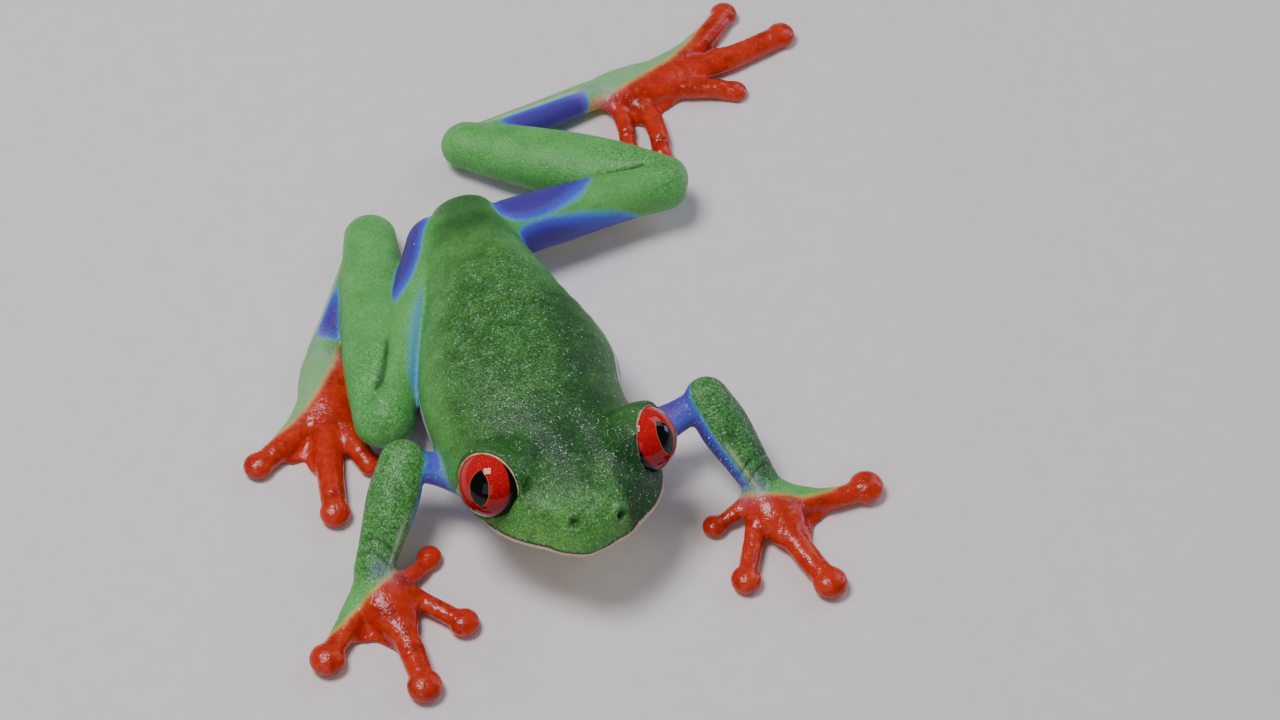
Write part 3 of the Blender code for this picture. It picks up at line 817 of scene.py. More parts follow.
def belonging(found):
    """Each form's share of each point: exp(-distance outside / BLEND), all shares adding up to 1."""
    names = list(found)
    outside = np.stack([found[name]["outside"] for name in names])
    share = np.exp(-np.clip(outside - outside.min(axis=0), 0, 12) / BLEND)
    share /= share.sum(axis=0)
    return dict(zip(names, share))


forms = measure(points)
shares = belonging(forms)
for name in (("body", ""), ("shank", "left"), ("hand_4", "right")):
    print(name, "holds", int((shares[name] > 0.5).sum()), "points")

# %% [markdown]
# ## Where forms run together
#
# Two tubes that cross leave a sharp valley. Skin is stretched over such places: at the shoulder, the
# hip, the wrist, the knee and the ankle, and between the digits. Plain smoothing, strong only there,
# fills the valleys. Past the knee the fold between thigh and shank stays, as the real one does.

# %% Blend the joints
# bone, how far along it the middle of the smoothing lies, and how far it reaches, all in mm
BLENDED = (
    ("upper_arm", 4.5, 5.5),  # the shoulder, where the arm leaves the trunk
    ("thigh", 3.5, 5.5),  # the hip
    ("shank", 0.0, 4.2),  # the knee
)
END_REACH = 3.2  # the same at wrist and ankle
JOINT_ROUNDS = 16
strength = np.zeros(len(points))
for side in SIDES:
    centres = [(ROOTS[kind, side], END_REACH) for kind in ENDS]
    for bone, along, reach in BLENDED:
        start, end = BONES[bone, side]
        centres.append((start + unit(end - start) * along, reach))
    for centre, reach in centres:
        gap = np.linalg.norm(points - centre, axis=1)
        strength = np.maximum(strength, 0.6 * (1 - smoothstep(0.35, 1, gap / reach)))
    for kind, made in ENDS.items():
        for path, pad in zip(PATHS[kind, side], made["pads"]):
            for share in (0.25, 0.5):
                gap = np.linalg.norm(points - bezier(path, share), axis=1)
                strength = np.maximum(strength, 0.5 * (1 - smoothstep(0.5, 1, gap / (2.4 * pad))))
points = blended(points, edges, strength, JOINT_ROUNDS)
print("points smoothed at joints:", int((strength > 0.05).sum()))

# %% Blend the orbits into the head
ORBIT_ROUNDS = 45
strength = np.zeros(len(points))
for eye in EYES.values():
    gap = points - eye["centre"]
    far = np.linalg.norm(gap, axis=1)
    turn = np.degrees(np.arccos(np.clip(gap @ eye["axes"][2] / np.maximum(far, 0.1), -1, 1)))
    ring = smoothstep(4.3, 4.7, far) * (1 - smoothstep(6.5, 8.5, far))
    strength = np.maximum(strength, 0.7 * ring * smoothstep(82, 98, turn))
points = blended(points, edges, strength, ORBIT_ROUNDS)
print("points smoothed round the eyes:", int((strength > 0.05).sum()))

# %% [markdown]
# ## Folds and features
#
# What makes the skin a frog's is small: the mouth's line with its overhanging upper lip, the pits of
# the nostrils, a ridge from each eye to its nostril, the eardrum's ring behind each eye, the fold
# that runs back above it, creases over the wrists, the fold behind each knee. Each is a small move
# along the skin's normal, given by a formula of where the point lies, as a sculptor would push and
# pull it.

# %% The mouth's line and the edge of the green
# place along Y, height of the line above the widest line of the body
EDGE = np.array(
    [
        (-38.1, -0.55),  # snout tip: the mouth
        (-35.0, -0.35),
        (-31.0, 0.1),
        (-27.5, 0.1),  # corner of the mouth
        (-24.0, 0.4),
        (-20.0, 0.8),  # shoulder
        (-14.0, 1.8),
        (-6.0, 2.0),  # flank
        (3.0, 2.0),
        (11.0, 1.5),
        (17.0, 0.8),
        (21.6, 0.4),
    ]
)
MOUTH_CORNER = -26.5
FLANK_LEAN = 1.2  # how much higher the line runs along the left flank, and lower along the right, mm


def edge_height(y):
    """The line's height over the widest line at each y, by the cubic."""
    return smooth_through(EDGE[:, 0], EDGE[:, 1:], y)[:, 0]


def above_edge(body):
    """Height of each point over the line where the back's green ends, in mm."""
    x, y, _ = body["place"].T
    line = edge_height(y)
    leaning = np.clip(x / 6, -1, 1) * smoothstep(-21, -15, y) * smoothstep(9, 0, y)
    return body["rise"] - line - FLANK_LEAN * leaning


body = forms["body", ""]
above = above_edge(body)
print("points over the green's edge:", int((above > 0).sum()))


# %% Where the features lie
def bump(distance, width):
    """A bell of height 1, exp(-(d / w)^2)."""
    return np.exp(-((distance / width) ** 2))


def head_point(x, y):
    """A place on the head's upper surface, straight down onto the superellipse at (x, y)."""
    half, top, _, widest = body_sizes(np.array([y]))[:, 0]
    rise = (top - widest) * (1 - abs(x / half) ** BODY_SQUARENESS) ** (1 / BODY_SQUARENESS)
    return rolled(np.array([[x, y, widest + rise]]))[0]


NOSTRILS = {"right": (-1.8, -35.2), "left": (3.6, -35.3)}  # the snout is turned a little to the left
NOSTRIL_PIT = 0.5  # radius, mm
EARDRUM = (11.6, -20.9, 10.2)  # on the left, before the head's roll
EARDRUM_RADIUS = 1.25
# how far the upper lip stands out, or lies back, along the side of the snout: (place along Y, mm)
JAW_SWELL = {
    "right": ((-38.0, 0.4), (-30.5, 0.4), (-26.5, 0.0)),
    "left": ((-38.0, 0.65), (-33.0, 0.65), (-30.0, -0.2), (-28.0, -0.55), (-24.5, 0.0)),
}
WRIST_CREASES = (0.76, 0.88)  # shares along the forearm


def wrist_crease(side, place, width):
    """1 along a crease that runs across the forearm at this share of its length, bowed a little."""
    bone = forms["forearm", side]
    bend = 0.045 * np.cos(bone["angle"] * 2)
    return bump((bone["share"] - place + bend) * 12, width)


def knee_fold(side):
    """1 in the fold between thigh and shank, where a point is as far from one as from the other."""
    thigh, shank = forms["thigh", side], forms["shank", side]
    seam = np.abs(thigh["outside"] - shank["outside"])
    along = smoothstep(0.04, 0.12, shank["share"]) * smoothstep(0.42, 0.3, shank["share"])
    round_it = smoothstep(2.2, 1.6, np.abs(shank["angle"]))
    return bump(seam, 0.3) * along * round_it * (thigh["outside"] < 1.5)


print("nostrils, mm:", {side: head_point(*NOSTRILS[side]).round(1).tolist() for side in SIDES})


# %% Push and pull
def sculpt_mouth():
    """The lower jaw drawn in under a fine groove, and the upper lip's rounded edge over it."""
    behind = smoothstep(MOUTH_CORNER - 1.5, MOUTH_CORNER + 1.5, body["place"][:, 1])
    on_head = shares["body", ""] * (1 - behind)
    jaw = -0.45 * smoothstep(-0.1, -0.6, above) * smoothstep(-4.5, -1.2, above)
    return on_head * (jaw - 0.2 * bump(above + 0.3, 0.22) + 0.14 * bump(above - 0.2, 0.3))


def sculpt_face(points, side):
    """One side of the head: the lip's swelling, the nostril, ridges, hollows, eardrum and ear fold."""
    place, on_body = body["place"], shares["body", ""]
    sign = 1 if side == "left" else -1
    nostril = head_point(*NOSTRILS[side])
    brow = EYES[side]["centre"] + EYES[side]["axes"][2] * 0.5
    drum = rolled(on_side(EARDRUM, side)[None])[0]
    swell = np.interp(place[:, 1], *np.array(JAW_SWELL[side]).T)
    move = swell * smoothstep(0.5, 4.0, sign * place[:, 0]) * bump(above - 0.2, 1.7)
    ridge = near_line(points, brow + (-sign * 1.6, -3.6, 0.6), nostril + (0, 1.2, 0.1))
    move += 0.26 * bump(ridge, 1.0)
    over_eye = near_line(points, brow + (-sign * 4.0, -1.5, 2.0), brow + (-sign * 4.2, 3.0, 1.2))
    move += 0.35 * bump(over_eye, 1.4)
    hollow = near_line(place * (1, 1, 0), (sign * 2.2, -31.0, 0), (sign * 2.6, -22.0, 0))
    move -= 0.32 * bump(hollow, 1.6) * smoothstep(3.0, 5.0, body["rise"])
    cheek = near_line(place, (sign * 8.6, -30.0, 12.6), (sign * 5.2, -34.4, 12.4))
    move -= 0.4 * bump(cheek, 1.3)
    fold = near_line(points, brow + (0, 5.0, -1.5), drum + (0, 6.5, -1.0))
    move += 0.2 * bump(fold, 0.7) * smoothstep(-23.5, -20.5, place[:, 1])
    pit = np.linalg.norm(points - nostril, axis=1)
    ear = np.linalg.norm(points - drum, axis=1)
    rims = 0.32 * bump(pit - 0.85, 0.5) + 0.12 * bump(ear - EARDRUM_RADIUS, 0.28)
    pits = 0.75 * bump(pit, NOSTRIL_PIT) + 0.1 * bump(ear, EARDRUM_RADIUS * 0.8)
    return on_body * move + rims - pits


def sculpt_limbs(side):
    """The folds behind one knee and over one wrist."""
    move = -0.3 * knee_fold(side)
    on_top = smoothstep(2.0, 1.0, np.abs(forms["forearm", side]["angle"])) * shares["forearm", side]
    for place in WRIST_CREASES:
        move -= 0.16 * wrist_crease(side, place, 0.17) * on_top
    return move


def sculpt_back():
    """A pressed chin, a groove along the spine, the hips' two swellings, and folds across the back."""
    x, y, _ = body["place"].T
    rise = body["rise"]
    chin = near_line(body["place"], (0.4, -38.0, 12.0), (2.6, -37.0, 12.0))
    spine = bump(x, 1.0) * smoothstep(-12, -4, y) * smoothstep(19, 12, y) * (rise > 2)
    hips = bump(np.abs(x) - 2.6, 1.2) * bump(y - 9.5, 5) * (rise > 1)
    waves = np.sin(y * 2.4 + 0.9 * np.sin(x * 0.55)) * bump(y - 2.0, 8.0) * smoothstep(1.5, 4.0, rise)
    return shares["body", ""] * (0.22 * hips - 0.45 * bump(chin, 1.5) - 0.12 * spine + 0.05 * waves)


move = sculpt_mouth() + sculpt_back()
for side in SIDES:
    move += sculpt_face(points, side) + sculpt_limbs(side)
points = points + point_normals(points, quads) * move[:, None]
print("deepest pit and highest ridge, mm:", round(move.min(), 2), round(move.max(), 2))

# %% Keep to the floor, and off the eyeballs
for side, eye in EYES.items():
    gap = points - eye["centre"]
    far = np.linalg.norm(gap, axis=1)
    ahead = gap @ eye["axes"][2]
    inside = (far < eye["radius"] + 0.05) & (far > 0.5)
    sunk = np.where(ahead > 0.6, eye["radius"] - 0.35, far)
    points[inside] = (eye["centre"] + gap * (sunk / far)[:, None])[inside]
LOWEST, HIGHEST = np.array(cad_box) / MM  # the skin stays within the solids' box, and so on the floor
points = np.clip(points, LOWEST, HIGHEST)
print("skin spans, mm:", points.min(axis=0).round(2), points.max(axis=0).round(2))

# %% [markdown]
# ## The paint, as distances
#
# A frog's colours have edges: green stops at a line along the flank, blue runs up the arms, orange
# takes over at the wrists. Each edge is kept on the skin as a signed distance in millimetres,
# positive inside the colour, so a material can draw it as sharp or as soft as it likes, however
# coarse the mesh. Gentle things, such as how pale the green is, are kept as a share from 0 to 1. An
# image on a UV map could hold the paint too, but this skin has no seam to unwrap it along.


# %% The paint's channels
CHANNELS = {
    "cool": "distance inside the violet and blue, mm",
    "pale": "distance inside the cream of belly and undersides, mm",
    "warm": "share of orange",
    "mint": "share of the paler green of legs and sides",
    # partly painted shade
    "deep": "how much darker the green is",
    # the glints are painted highlights
    "spark": "how many single glints",
    "frost": "how many massed glints",
    # partly a painted highlight, over the wrists
    "lilac": "share of a lilac bloom",
    # partly a painted sheen, along the edges of the forearms and tarsi
    "wan": "share of a whitish green",
}
NONE = -9.0  # mm; a distance this far outside a colour means that the form has none of it


def plain(**given):
    """One form's paint, where nothing is said: no violet, no cream, no orange, no sparkle."""
    paint = dict.fromkeys(CHANNELS, 0.0) | {"cool": NONE, "pale": NONE} | given
    count = len(points)
    return {name: np.broadcast_to(np.asarray(value, float), count) for name, value in paint.items()}


print("channels:", *CHANNELS)

# %% The body's paint
FLANK_DEPTH = 5.4  # how far the violet flank reaches down under the green
BAR_SPACING = 3.7  # the flank's cream bars, centre to centre
BAR_HALF = 0.42
# the head's most glistening streaks, painted as crowded glints: from, to (x, y), width in mm, and how
# strong
SHEENS = (
    ((-4.2, -28.4), (-1.8, -31.6), 0.75, 0.75),
    ((-1.6, -31.8), (-1.4, -33.8), 0.5, 0.6),
    ((5.0, -28.4), (4.6, -24.6), 0.9, 0.65),
    ((2.2, -32.8), (3.2, -33.6), 0.6, 0.4),
    ((3.4, -36.2), (4.2, -35.8), 0.6, 0.4),
    ((-6.2, -20.5), (-2.0, -17.5), 1.4, 0.12),
)


def paint_body(body):
    """Green over the edge line, cream under it; violet flanks between arm and thigh with cream bars."""
    above = above_edge(body)
    x, y, _ = body["place"].T
    bars = np.abs((y + 17.5 + BAR_SPACING / 2) % BAR_SPACING - BAR_SPACING / 2) - BAR_HALF
    bars = np.maximum(bars, above + 1.3)
    cool = np.minimum.reduce([-above - 0.35, above + FLANK_DEPTH, y + 20.0, 17.0 - y, bars])
    tall = body["rise"] - edge_height(y)
    # painted shade: darker green on the shaded left flank, the snout's left side, between the eyes
    shaded_side = smoothstep(2, 7, x) * smoothstep(4, -3, y) * smoothstep(-25, -20, y)
    middle = smoothstep(2.5, 6.5, tall)
    shade_between_eyes = bump(y + 24.5, 5) * bump(x - 0.5, 6.5)
    shaded_snout = smoothstep(3.2, 5.8, x) * smoothstep(-27, -31, y)
    bright_snout = bump(x + 4.5, 4.5) * bump(y + 35, 3.5)
    neck = bump(y + 15, 6)
    deep = 0.36 * middle + 0.5 * shade_between_eyes + 0.04 * neck + 1.1 * shaded_snout - 0.25 * bright_snout
    deep = deep + 0.65 * smoothstep(9, 16, y) + 0.4 * shaded_side
    # painted glints: scattered over the middle of the back and the head, massed in the head's streaks
    spark = 0.03 + 0.12 * smoothstep(12, 4, y) + 0.45 * smoothstep(9, 2, y) * middle * bump(x + 0.5, 8)
    spark = spark * (1 - 0.45 * smoothstep(-16, -23, y)) + 0.16 * smoothstep(-25, -28, y)
    frost = np.zeros(len(x))
    for start, end, width, much in SHEENS:
        line = near_line(body["place"] * (1, 1, 0), (*start, 0), (*end, 0))
        frost = np.maximum(frost, much * bump(line, width) * smoothstep(1.5, 3.0, above))
    # painted shade: the paler green is left off the shaded left flank
    mint = 0.55 * smoothstep(4.5, 0.8, tall) * smoothstep(-26, -20, y) * (1 - shaded_side)
    return plain(cool=cool, pale=-above, deep=deep, mint=mint, spark=spark, frost=frost)


flank = (paint_body(body)["cool"] > 0) & (shares["body", ""] > 0.5)
print("body points with violet:", int(flank.sum()))


# %% The arms' paint
def underside(bone):
    """Distance inside the cream under a bone, and inside its length, so that no joint shows cream."""
    within = np.minimum(bone["share"], 1 - bone["share"]) * 16 - 0.2
    return np.minimum((np.abs(bone["angle"]) - 2.45) * bone["half"], within), within


def paint_upper_arm(bone, side):
    """Violet with a lilac bloom nearly to the elbow, paler along a line on its front."""
    share, angle = bone["share"], bone["angle"]
    round_arm = 0.55 + 1.6 * np.abs(angle + 0.9)
    cool = np.minimum((0.86 - share) * 12 + 0.5 * (np.abs(angle) - 0.8), round_arm)
    lilac = 0.6 * smoothstep(1.0, 1.9, np.abs(angle + 0.2))
    lilac = np.maximum(lilac, 0.5 * smoothstep(0.85, 0.2, share))
    # a few painted glints towards the elbow
    return plain(cool=cool, mint=0.5, spark=0.5 * smoothstep(0.75, 0.95, share), lilac=lilac)


def paint_forearm(bone, side):
    """Green above, with painted glints and sheen on its edge, blue inside it; on the right the blue
    ends halfway.
    """
    share, angle, half = bone["share"], bone["angle"], bone["half"]
    under, _ = underside(bone)
    inner = (-angle - (1.0 if side == "left" else 1.35)) * half
    if side == "right":
        inner = np.minimum(inner, (0.5 - share) * 9)
    cool = np.minimum(np.maximum(inner, (angle - 2.6) * half), -under) * 1.7
    edge = -0.8 if side == "left" else -1.05
    # painted highlight: massed glints and a whitish sheen along the edge, a little lilac at the wrist
    frost = 0.8 * bump(angle - edge, 0.24) * smoothstep(0.3, 0.55, share)
    frost = np.maximum(frost, 0.6 * bump(share - 0.97, 0.1) * bump(angle + 0.5, 0.6))
    lilac = 0.35 * bump(share - 0.98, 0.12) * smoothstep(0.3, -0.6, angle)
    wan = 0.6 * bump(angle - edge, 0.11) * smoothstep(0.35, 0.65, share)
    spark = 0.5 + 0.3 * smoothstep(0.6, -0.6, angle)
    deep = 0.35 + 0.35 * smoothstep(-0.2, 0.9, angle) if side == "left" else 0.1
    flecks = {"spark": spark, "frost": frost, "lilac": lilac, "wan": wan}
    return plain(cool=cool, pale=under, mint=0.45, deep=deep, **flecks)


cream = underside(forms["forearm", "left"])[0] > 0
print("left forearm's cream points:", int((cream * shares["forearm", "left"]).sum()))

# %% The legs' paint
# the thigh's green stripe: its middle's angle, and its half widths on the upper and on the lower side
# as angles, each with the shares along the bone where it has them; then the lower violet's strength
STRIPE = {
    "left": {
        "middle": -0.62,
        "upper": ((0.2, 0.32, 0.44, 0.53, 0.62), (0.0, 0.12, 0.35, 0.85, 1.9)),
        "lower": ((0.2, 0.42, 0.62, 0.74, 0.84), (0.0, 0.2, 0.55, 0.95, 1.9)),
        "lower_strength": 1.0,
    },
    "right": {
        "middle": 0.1,
        "upper": ((0.15, 0.3, 0.45, 0.58), (0.0, 0.2, 0.7, 1.9)),
        "lower": ((0.2, 0.5, 0.8, 1.0), (0.05, 0.15, 0.45, 1.2)),
        "lower_strength": 0.7,
    },
}


def paint_thigh(bone, side):
    """A green stripe between two violet bands, which end one after the other towards the knee."""
    share, angle, half = bone["share"], bone["angle"], bone["half"]
    under, _ = underside(bone)
    stripe = STRIPE[side]
    upper = angle - stripe["middle"] - np.interp(share, *stripe["upper"])
    lower = stripe["middle"] - angle - np.interp(share, *stripe["lower"])
    lower *= stripe["lower_strength"]
    deeper = 0.65 + 0.65 * smoothstep(0.45, 0.15, share)
    cool = np.minimum(np.maximum(upper, lower) * half * deeper, -under)
    # a few painted glints towards the knee
    return plain(cool=cool, pale=under, mint=0.9, spark=0.2 * smoothstep(0.8, 1.0, share))


def paint_shank(bone, side):
    """Green all over its top, with painted glints at the knee, and violet low on both sides."""
    share, angle, half = bone["share"], bone["angle"], bone["half"]
    under, within = underside(bone)
    cool = np.minimum.reduce([(np.abs(angle) - 2.2) * half, -under, within])
    frost = 0.9 * bump(share - 0.07, 0.07) * bump(angle - 0.1, 0.5)
    edge = smoothstep(0.9, 1.6, np.abs(angle))
    spark = 0.04 + 0.3 * smoothstep(0.4, 0.15, share) * bump(angle, 0.9)
    return plain(cool=cool, pale=under, mint=1.0, deep=0.35 * edge, spark=spark, frost=frost)


def paint_tarsus(bone, side):
    """Pale green on its outer side and violet on its inner, with a painted whitish sheen and glints
    between them.
    """
    share, angle, half = bone["share"], bone["angle"], bone["half"]
    top = 0.45 * (1 - share) if side == "left" else 0.95  # where round the tarsus its violet begins
    cool = np.minimum((top - angle) * half * 1.8, (angle + 2.6) * half)
    cool = np.minimum(cool, (1.02 - share) * 14)
    # painted highlight: a whitish sheen and massed glints along the line, lilac near the ankle
    wan = 0.8 * bump(angle - top - 0.1, 0.14) * smoothstep(1.0, 0.85, share)
    wan = np.maximum(wan, 0.35 * smoothstep(0.0, 0.5, angle - top))
    frost = 0.6 * bump(angle - top - 0.1, 0.2)
    lilac = 0.5 * bump(angle - top + 0.3, 0.3) * smoothstep(0.75, 1.0, share)
    warm = smoothstep(0.88, 1.04, share) * smoothstep(-0.5, -1.2, angle)
    pale = (angle - 1.5) * half * 0.5
    flecks = {"frost": frost, "lilac": lilac, "wan": wan}
    return plain(cool=cool, pale=pale, warm=warm, mint=1.0, deep=-0.2, **flecks)


for side, stripe in STRIPE.items():
    print(side, "thigh's violet ends at shares", stripe["upper"][0][-1], "and", stripe["lower"][0][-1])


# %% The hands' and feet's paint
def paint_digits(kind, side):
    """Orange-red, but for a pale green band along the outermost digit, broad at the wrist, that
    narrows and turns yellow, then orange; painted glints with a little lilac speckle the wrist."""
    made = ENDS[kind]
    outer = forms[f"{kind}_{len(made['halves'])}", side]
    near = smoothstep(4.0, 2.4, outer["outside"]) * (outer["share"] < 2)
    inside_band = outer["aside"] + (2.3 if kind == "hand" else 2.0) - 4.2 * outer["share"]
    edge = smoothstep(-0.9, 0.7, inside_band) * smoothstep(0.95, 0.65, outer["share"]) * near
    gap = np.linalg.norm(points - ROOTS[kind, side], axis=1)
    angle = forms[made["flesh"], side]["angle"]
    start = 0.6 + 1.6 * smoothstep(-0.9, 1.0, angle)
    onset = smoothstep(start, start + 2.0, gap)
    inner = smoothstep(0.6, -0.6, angle)
    # painted highlight: glints and a little lilac on top of the wrist's inner side
    bloom = bump(gap - 1.8, 1.5) * (points[:, 2] > 1.8) * inner
    wan = 0.0 if kind == "hand" else 0.3 * edge
    flecks = {"frost": 0.8 * bloom, "lilac": 0.22 * bloom, "wan": wan}
    return plain(warm=(1 - edge) * onset, mint=1.0, deep=-0.1, **flecks)


orange = paint_digits("hand", "left")["warm"] * shares["palm", "left"]
print("left palm's orange points:", int((orange > 0.5).sum()))

# %% All paint together
PAINT_BONE = {  # each is called with the bone's coordinates and its side
    "upper_arm": paint_upper_arm,
    "forearm": paint_forearm,
    "thigh": paint_thigh,
    "shank": paint_shank,
    "tarsus": paint_tarsus,
}
MOST = 3.0  # mm; a distance counts up to this where two forms' paints are mixed


def paint_of(name, side):
    """The paint of one form over all points."""
    if name == "body":
        return paint_body(forms[name, side])
    if name in PAINT_BONE:
        return PAINT_BONE[name](forms[name, side], side)
    return paint_digits("hand" if name.startswith(("hand", "palm")) else "foot", side)


# each point takes its forms' paint by its shares of them
paint = {channel: np.zeros(len(points)) for channel in CHANNELS}
for (name, side), share in shares.items():
    for channel, values in paint_of(name, side).items():
        paint[channel] += share * np.clip(values, -MOST, MOST)
blue, red = paint["cool"] > 0, paint["warm"] > 0.5
print("violet points:", int(blue.sum()), "  orange points:", int(red.sum()))

# %% Lips and creases
def lid_shade(eye):
    """The shade in the fold under the lower lid: strongest 1 mm outside the eyeball, below it."""
    gap = points - eye["centre"]
    outside = np.linalg.norm(gap, axis=1) - eye["radius"]
    under = smoothstep(-0.1, -0.7, gap @ eye["axes"][1] / eye["radius"])
    return 0.3 * bump(outside - 1.0, 0.45) * under * shares["body", ""]


lip = np.where((body["place"][:, 1] < MOUTH_CORNER + 2) & (shares["body", ""] > 0.3), above, FAR)
# painted shade in knee folds, wrist creases, nostril pits, under the lower lids and at the mouth
crease = np.zeros(len(points))
for side in SIDES:
    crease = np.maximum(crease, 0.75 * smoothstep(0.35, 0.95, knee_fold(side)))
    turn = np.abs(forms["forearm", side]["angle"] + 0.2)
    on_top = smoothstep(1.4, 0.5, turn) * shares["forearm", side]
    for place in WRIST_CREASES:
        crease = np.maximum(crease, 0.75 * wrist_crease(side, place, 0.14) * on_top)
    pit = np.linalg.norm(points - head_point(*NOSTRILS[side]), axis=1)
    crease = np.maximum(crease, 0.9 * bump(pit, 0.58))
    crease = np.maximum(crease, lid_shade(EYES[side]))
in_front = smoothstep(MOUTH_CORNER + 0.6, MOUTH_CORNER - 0.6, body["place"][:, 1])
mouth = bump(above + 0.34, 0.12) * in_front
crease = np.maximum(crease, 0.85 * mouth * shares["body", ""])
print("creased points:", int((crease > 0.4).sum()))

# %% Write the skin's mesh
SKIN_TRIANGLES = 196000
FINAL_ROUNDS = 3  # thinning leaves uneven points, which a little relaxing evens out


def store(mesh, name, values):
    """Keeps one value for each point in a float attribute."""
    attribute = mesh.attributes.new(name, "FLOAT", "POINT")
    attribute.data.foreach_set("value", np.ascontiguousarray(values, np.float32))


skin.data.vertices.foreach_set("co", (points * MM).astype(np.float32).ravel())
for name, values in (*paint.items(), ("lip", lip), ("crease", crease)):
    store(skin.data, name, values)
skin.data.update()
thin = skin.modifiers.new("thin", "DECIMATE")
thin.ratio = SKIN_TRIANGLES / (2 * len(skin.data.polygons))
apply_modifiers(skin)
thinned, edges, _ = mesh_arrays(skin.data)
thinned = np.clip(relaxed(thinned, edges, FINAL_ROUNDS), LOWEST, HIGHEST)
skin.data.vertices.foreach_set("co", (thinned * MM).astype(np.float32).ravel())
skin.data.update()
skin.data.shade_smooth()
print("skin triangles:", sum(len(face.vertices) - 2 for face in skin.data.polygons))

# %% How far the skin lies from the solids
EVERY = 7  # one of the solids' corners in seven is enough to tell
flesh_nodes = [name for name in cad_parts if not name.startswith("eye")]
corners = [vertex.co for name in flesh_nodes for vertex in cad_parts[name].data.vertices]
bpy.context.view_layer.update()
nearest = [skin.closest_point_on_mesh(corner)[1] for corner in corners[::EVERY]]
gaps = np.linalg.norm(np.array(nearest) - np.array(corners[::EVERY]), axis=1) / MM
middle, tenth = np.quantile(gaps, (0.5, 0.9)).round(2)
print("from the solids' corners to the skin, mm: middle", middle, "  worst tenth from", tenth)

# %% [markdown]
# ## Colours and nodes
#
# Colours are written as sRGB hex, as a paint chart gives them, and a shader wants them linear, so
# one function turns them. One more function adds a node with its settings and links, and a third
# starts a material with its shader. Every material below is built from those.


# %% Helpers for materials
def linear(hex_colour, alpha=1.0):
    """sRGB hex to linear: v / 12.92 in the dark, ((v + 0.055) / 1.055)^2.4 above."""
    values = [int(hex_colour[i : i + 2], 16) / 255 for i in (0, 2, 4)]
    return (*[v / 12.92 if v <= 0.04045 else ((v + 0.055) / 1.055) ** 2.4 for v in values], alpha)


def add(tree, kind, inputs=(), take=None, **settings):
    """Adds a node. Settings are its properties; inputs, in order or by name, are values or other
    nodes' outputs to link. It gives the node, or the output that take names."""
    node = tree.nodes.new(kind)
    for name, value in settings.items():
        setattr(node, name, value)
    for socket, value in inputs.items() if isinstance(inputs, dict) else enumerate(inputs):
        if isinstance(value, bpy.types.NodeSocket):
            tree.links.new(value, node.inputs[socket])
        else:
            node.inputs[socket].default_value = value
    return node if take is None else node.outputs[take]


def new_material(name):
    """A material with an empty tree, its output node and a Principled shader linked to it."""
    material = bpy.data.materials.new(name)
    material.use_nodes = True
    material.node_tree.nodes.clear()
    shader = add(material.node_tree, "ShaderNodeBsdfPrincipled")
    add(material.node_tree, "ShaderNodeOutputMaterial", {"Surface": shader.outputs[0]})
    return material, material.node_tree, shader


def set_stops(ramp, stops):
    """Gives a colour ramp its stops: (place, hex colour)."""
    while len(ramp.elements) < len(stops):
        ramp.elements.new(0.5)
    for element, (place, colour) in zip(ramp.elements, stops):
        element.position = place
        element.color = linear(colour)


MATH = "ShaderNodeMath"
RANGE = "ShaderNodeMapRange"  # its inputs in order: value, from low, from high, to low, to high
NOISE = "ShaderNodeTexNoise"
print("leaf green, linear:", [round(value, 3) for value in linear("3F8F3A")])

# %% [markdown]
# ## The skin's finish
#
# Tree-frog skin is thin, moist and finely granular: low domes a third of a millimetre across, with
# a film of mucus in which the light sparkles. Under it lie pigment cells, green over yellow and
# blue, so the green is never even. The material lays the colours over each other in the order in
# which they lie on the frog, softens each edge a little with noise so that none looks cut, and then
# adds granules with painted shade between them, painted sparkles, painted shade in the creases,
# and the wet gloss, which is strongest on the fingers and toes.

# %% The skin's colours and scales
GRANULE = 0.28 * MM  # across one granule; the finest are half this, too fine to show
GLINT_CELL = 0.23 * MM  # from one glint's place to the next
MOTTLE = 2.6 * MM  # across a darker or lighter patch
CROWD = 1.3 * MM  # across a cluster of glints
WRINKLE = 0.9 * MM  # from one soft wrinkle to the next
FRAY = 0.5 * MM  # how coarse a colour's uneven edge is
WOBBLE = 0.35 * MM  # how coarse the granules' unevenness is
WOBBLE_REACH = 0.3 * MM  # and how far it moves them

GREENS = ((0.0, "174F18"), (0.33, "38742A"), (0.7, "559A42"), (1.0, "6CB350"))
MINTS = ((0.0, "45893F"), (0.5, "56AF52"), (1.0, "70C764"))
WARMING = ((0.0, "62BC58"), (0.25, "AEBA58"), (0.5, "E0A044"), (0.75, "D6521F"), (1.0, "CE2F17"))
VIOLETS = ((0.0, "74C08C"), (0.16, "4FA6D8"), (0.38, "4762D6"), (0.66, "4A48BE"), (1.0, "45359A"))
DEEP_RED = "9A1A0A"
ORANGE = "E8622A"
LILAC = "A792D6"
WAN = "C8DEBE"
CREAM = "E6DDB4"
BELLY = "E9DFC4"
LIP_EDGE = "E0C4A6"
LIP_SHADE = "1F3A1E"
# the painted glints' colours, bright and dim
GLINT = "D8F0E6"
GLINT_LOW = "66C078"
# painted shade in creases and pits
CREASE_SHADE = "1A3318"
print("granules, mm:", round(GRANULE / MM, 2), "  violets:", len(VIOLETS))


# %% The paint's signals as nodes
wet_skin, tree, shader = new_material("wet_granular_frog_skin")
place = add(tree, "ShaderNodeTexCoord", take="Object")
signal = {}
for name in (*CHANNELS, "lip", "crease"):
    signal[name] = add(tree, "ShaderNodeAttribute", take="Fac", attribute_name=name)
print("signals from the paint:", len(signal))

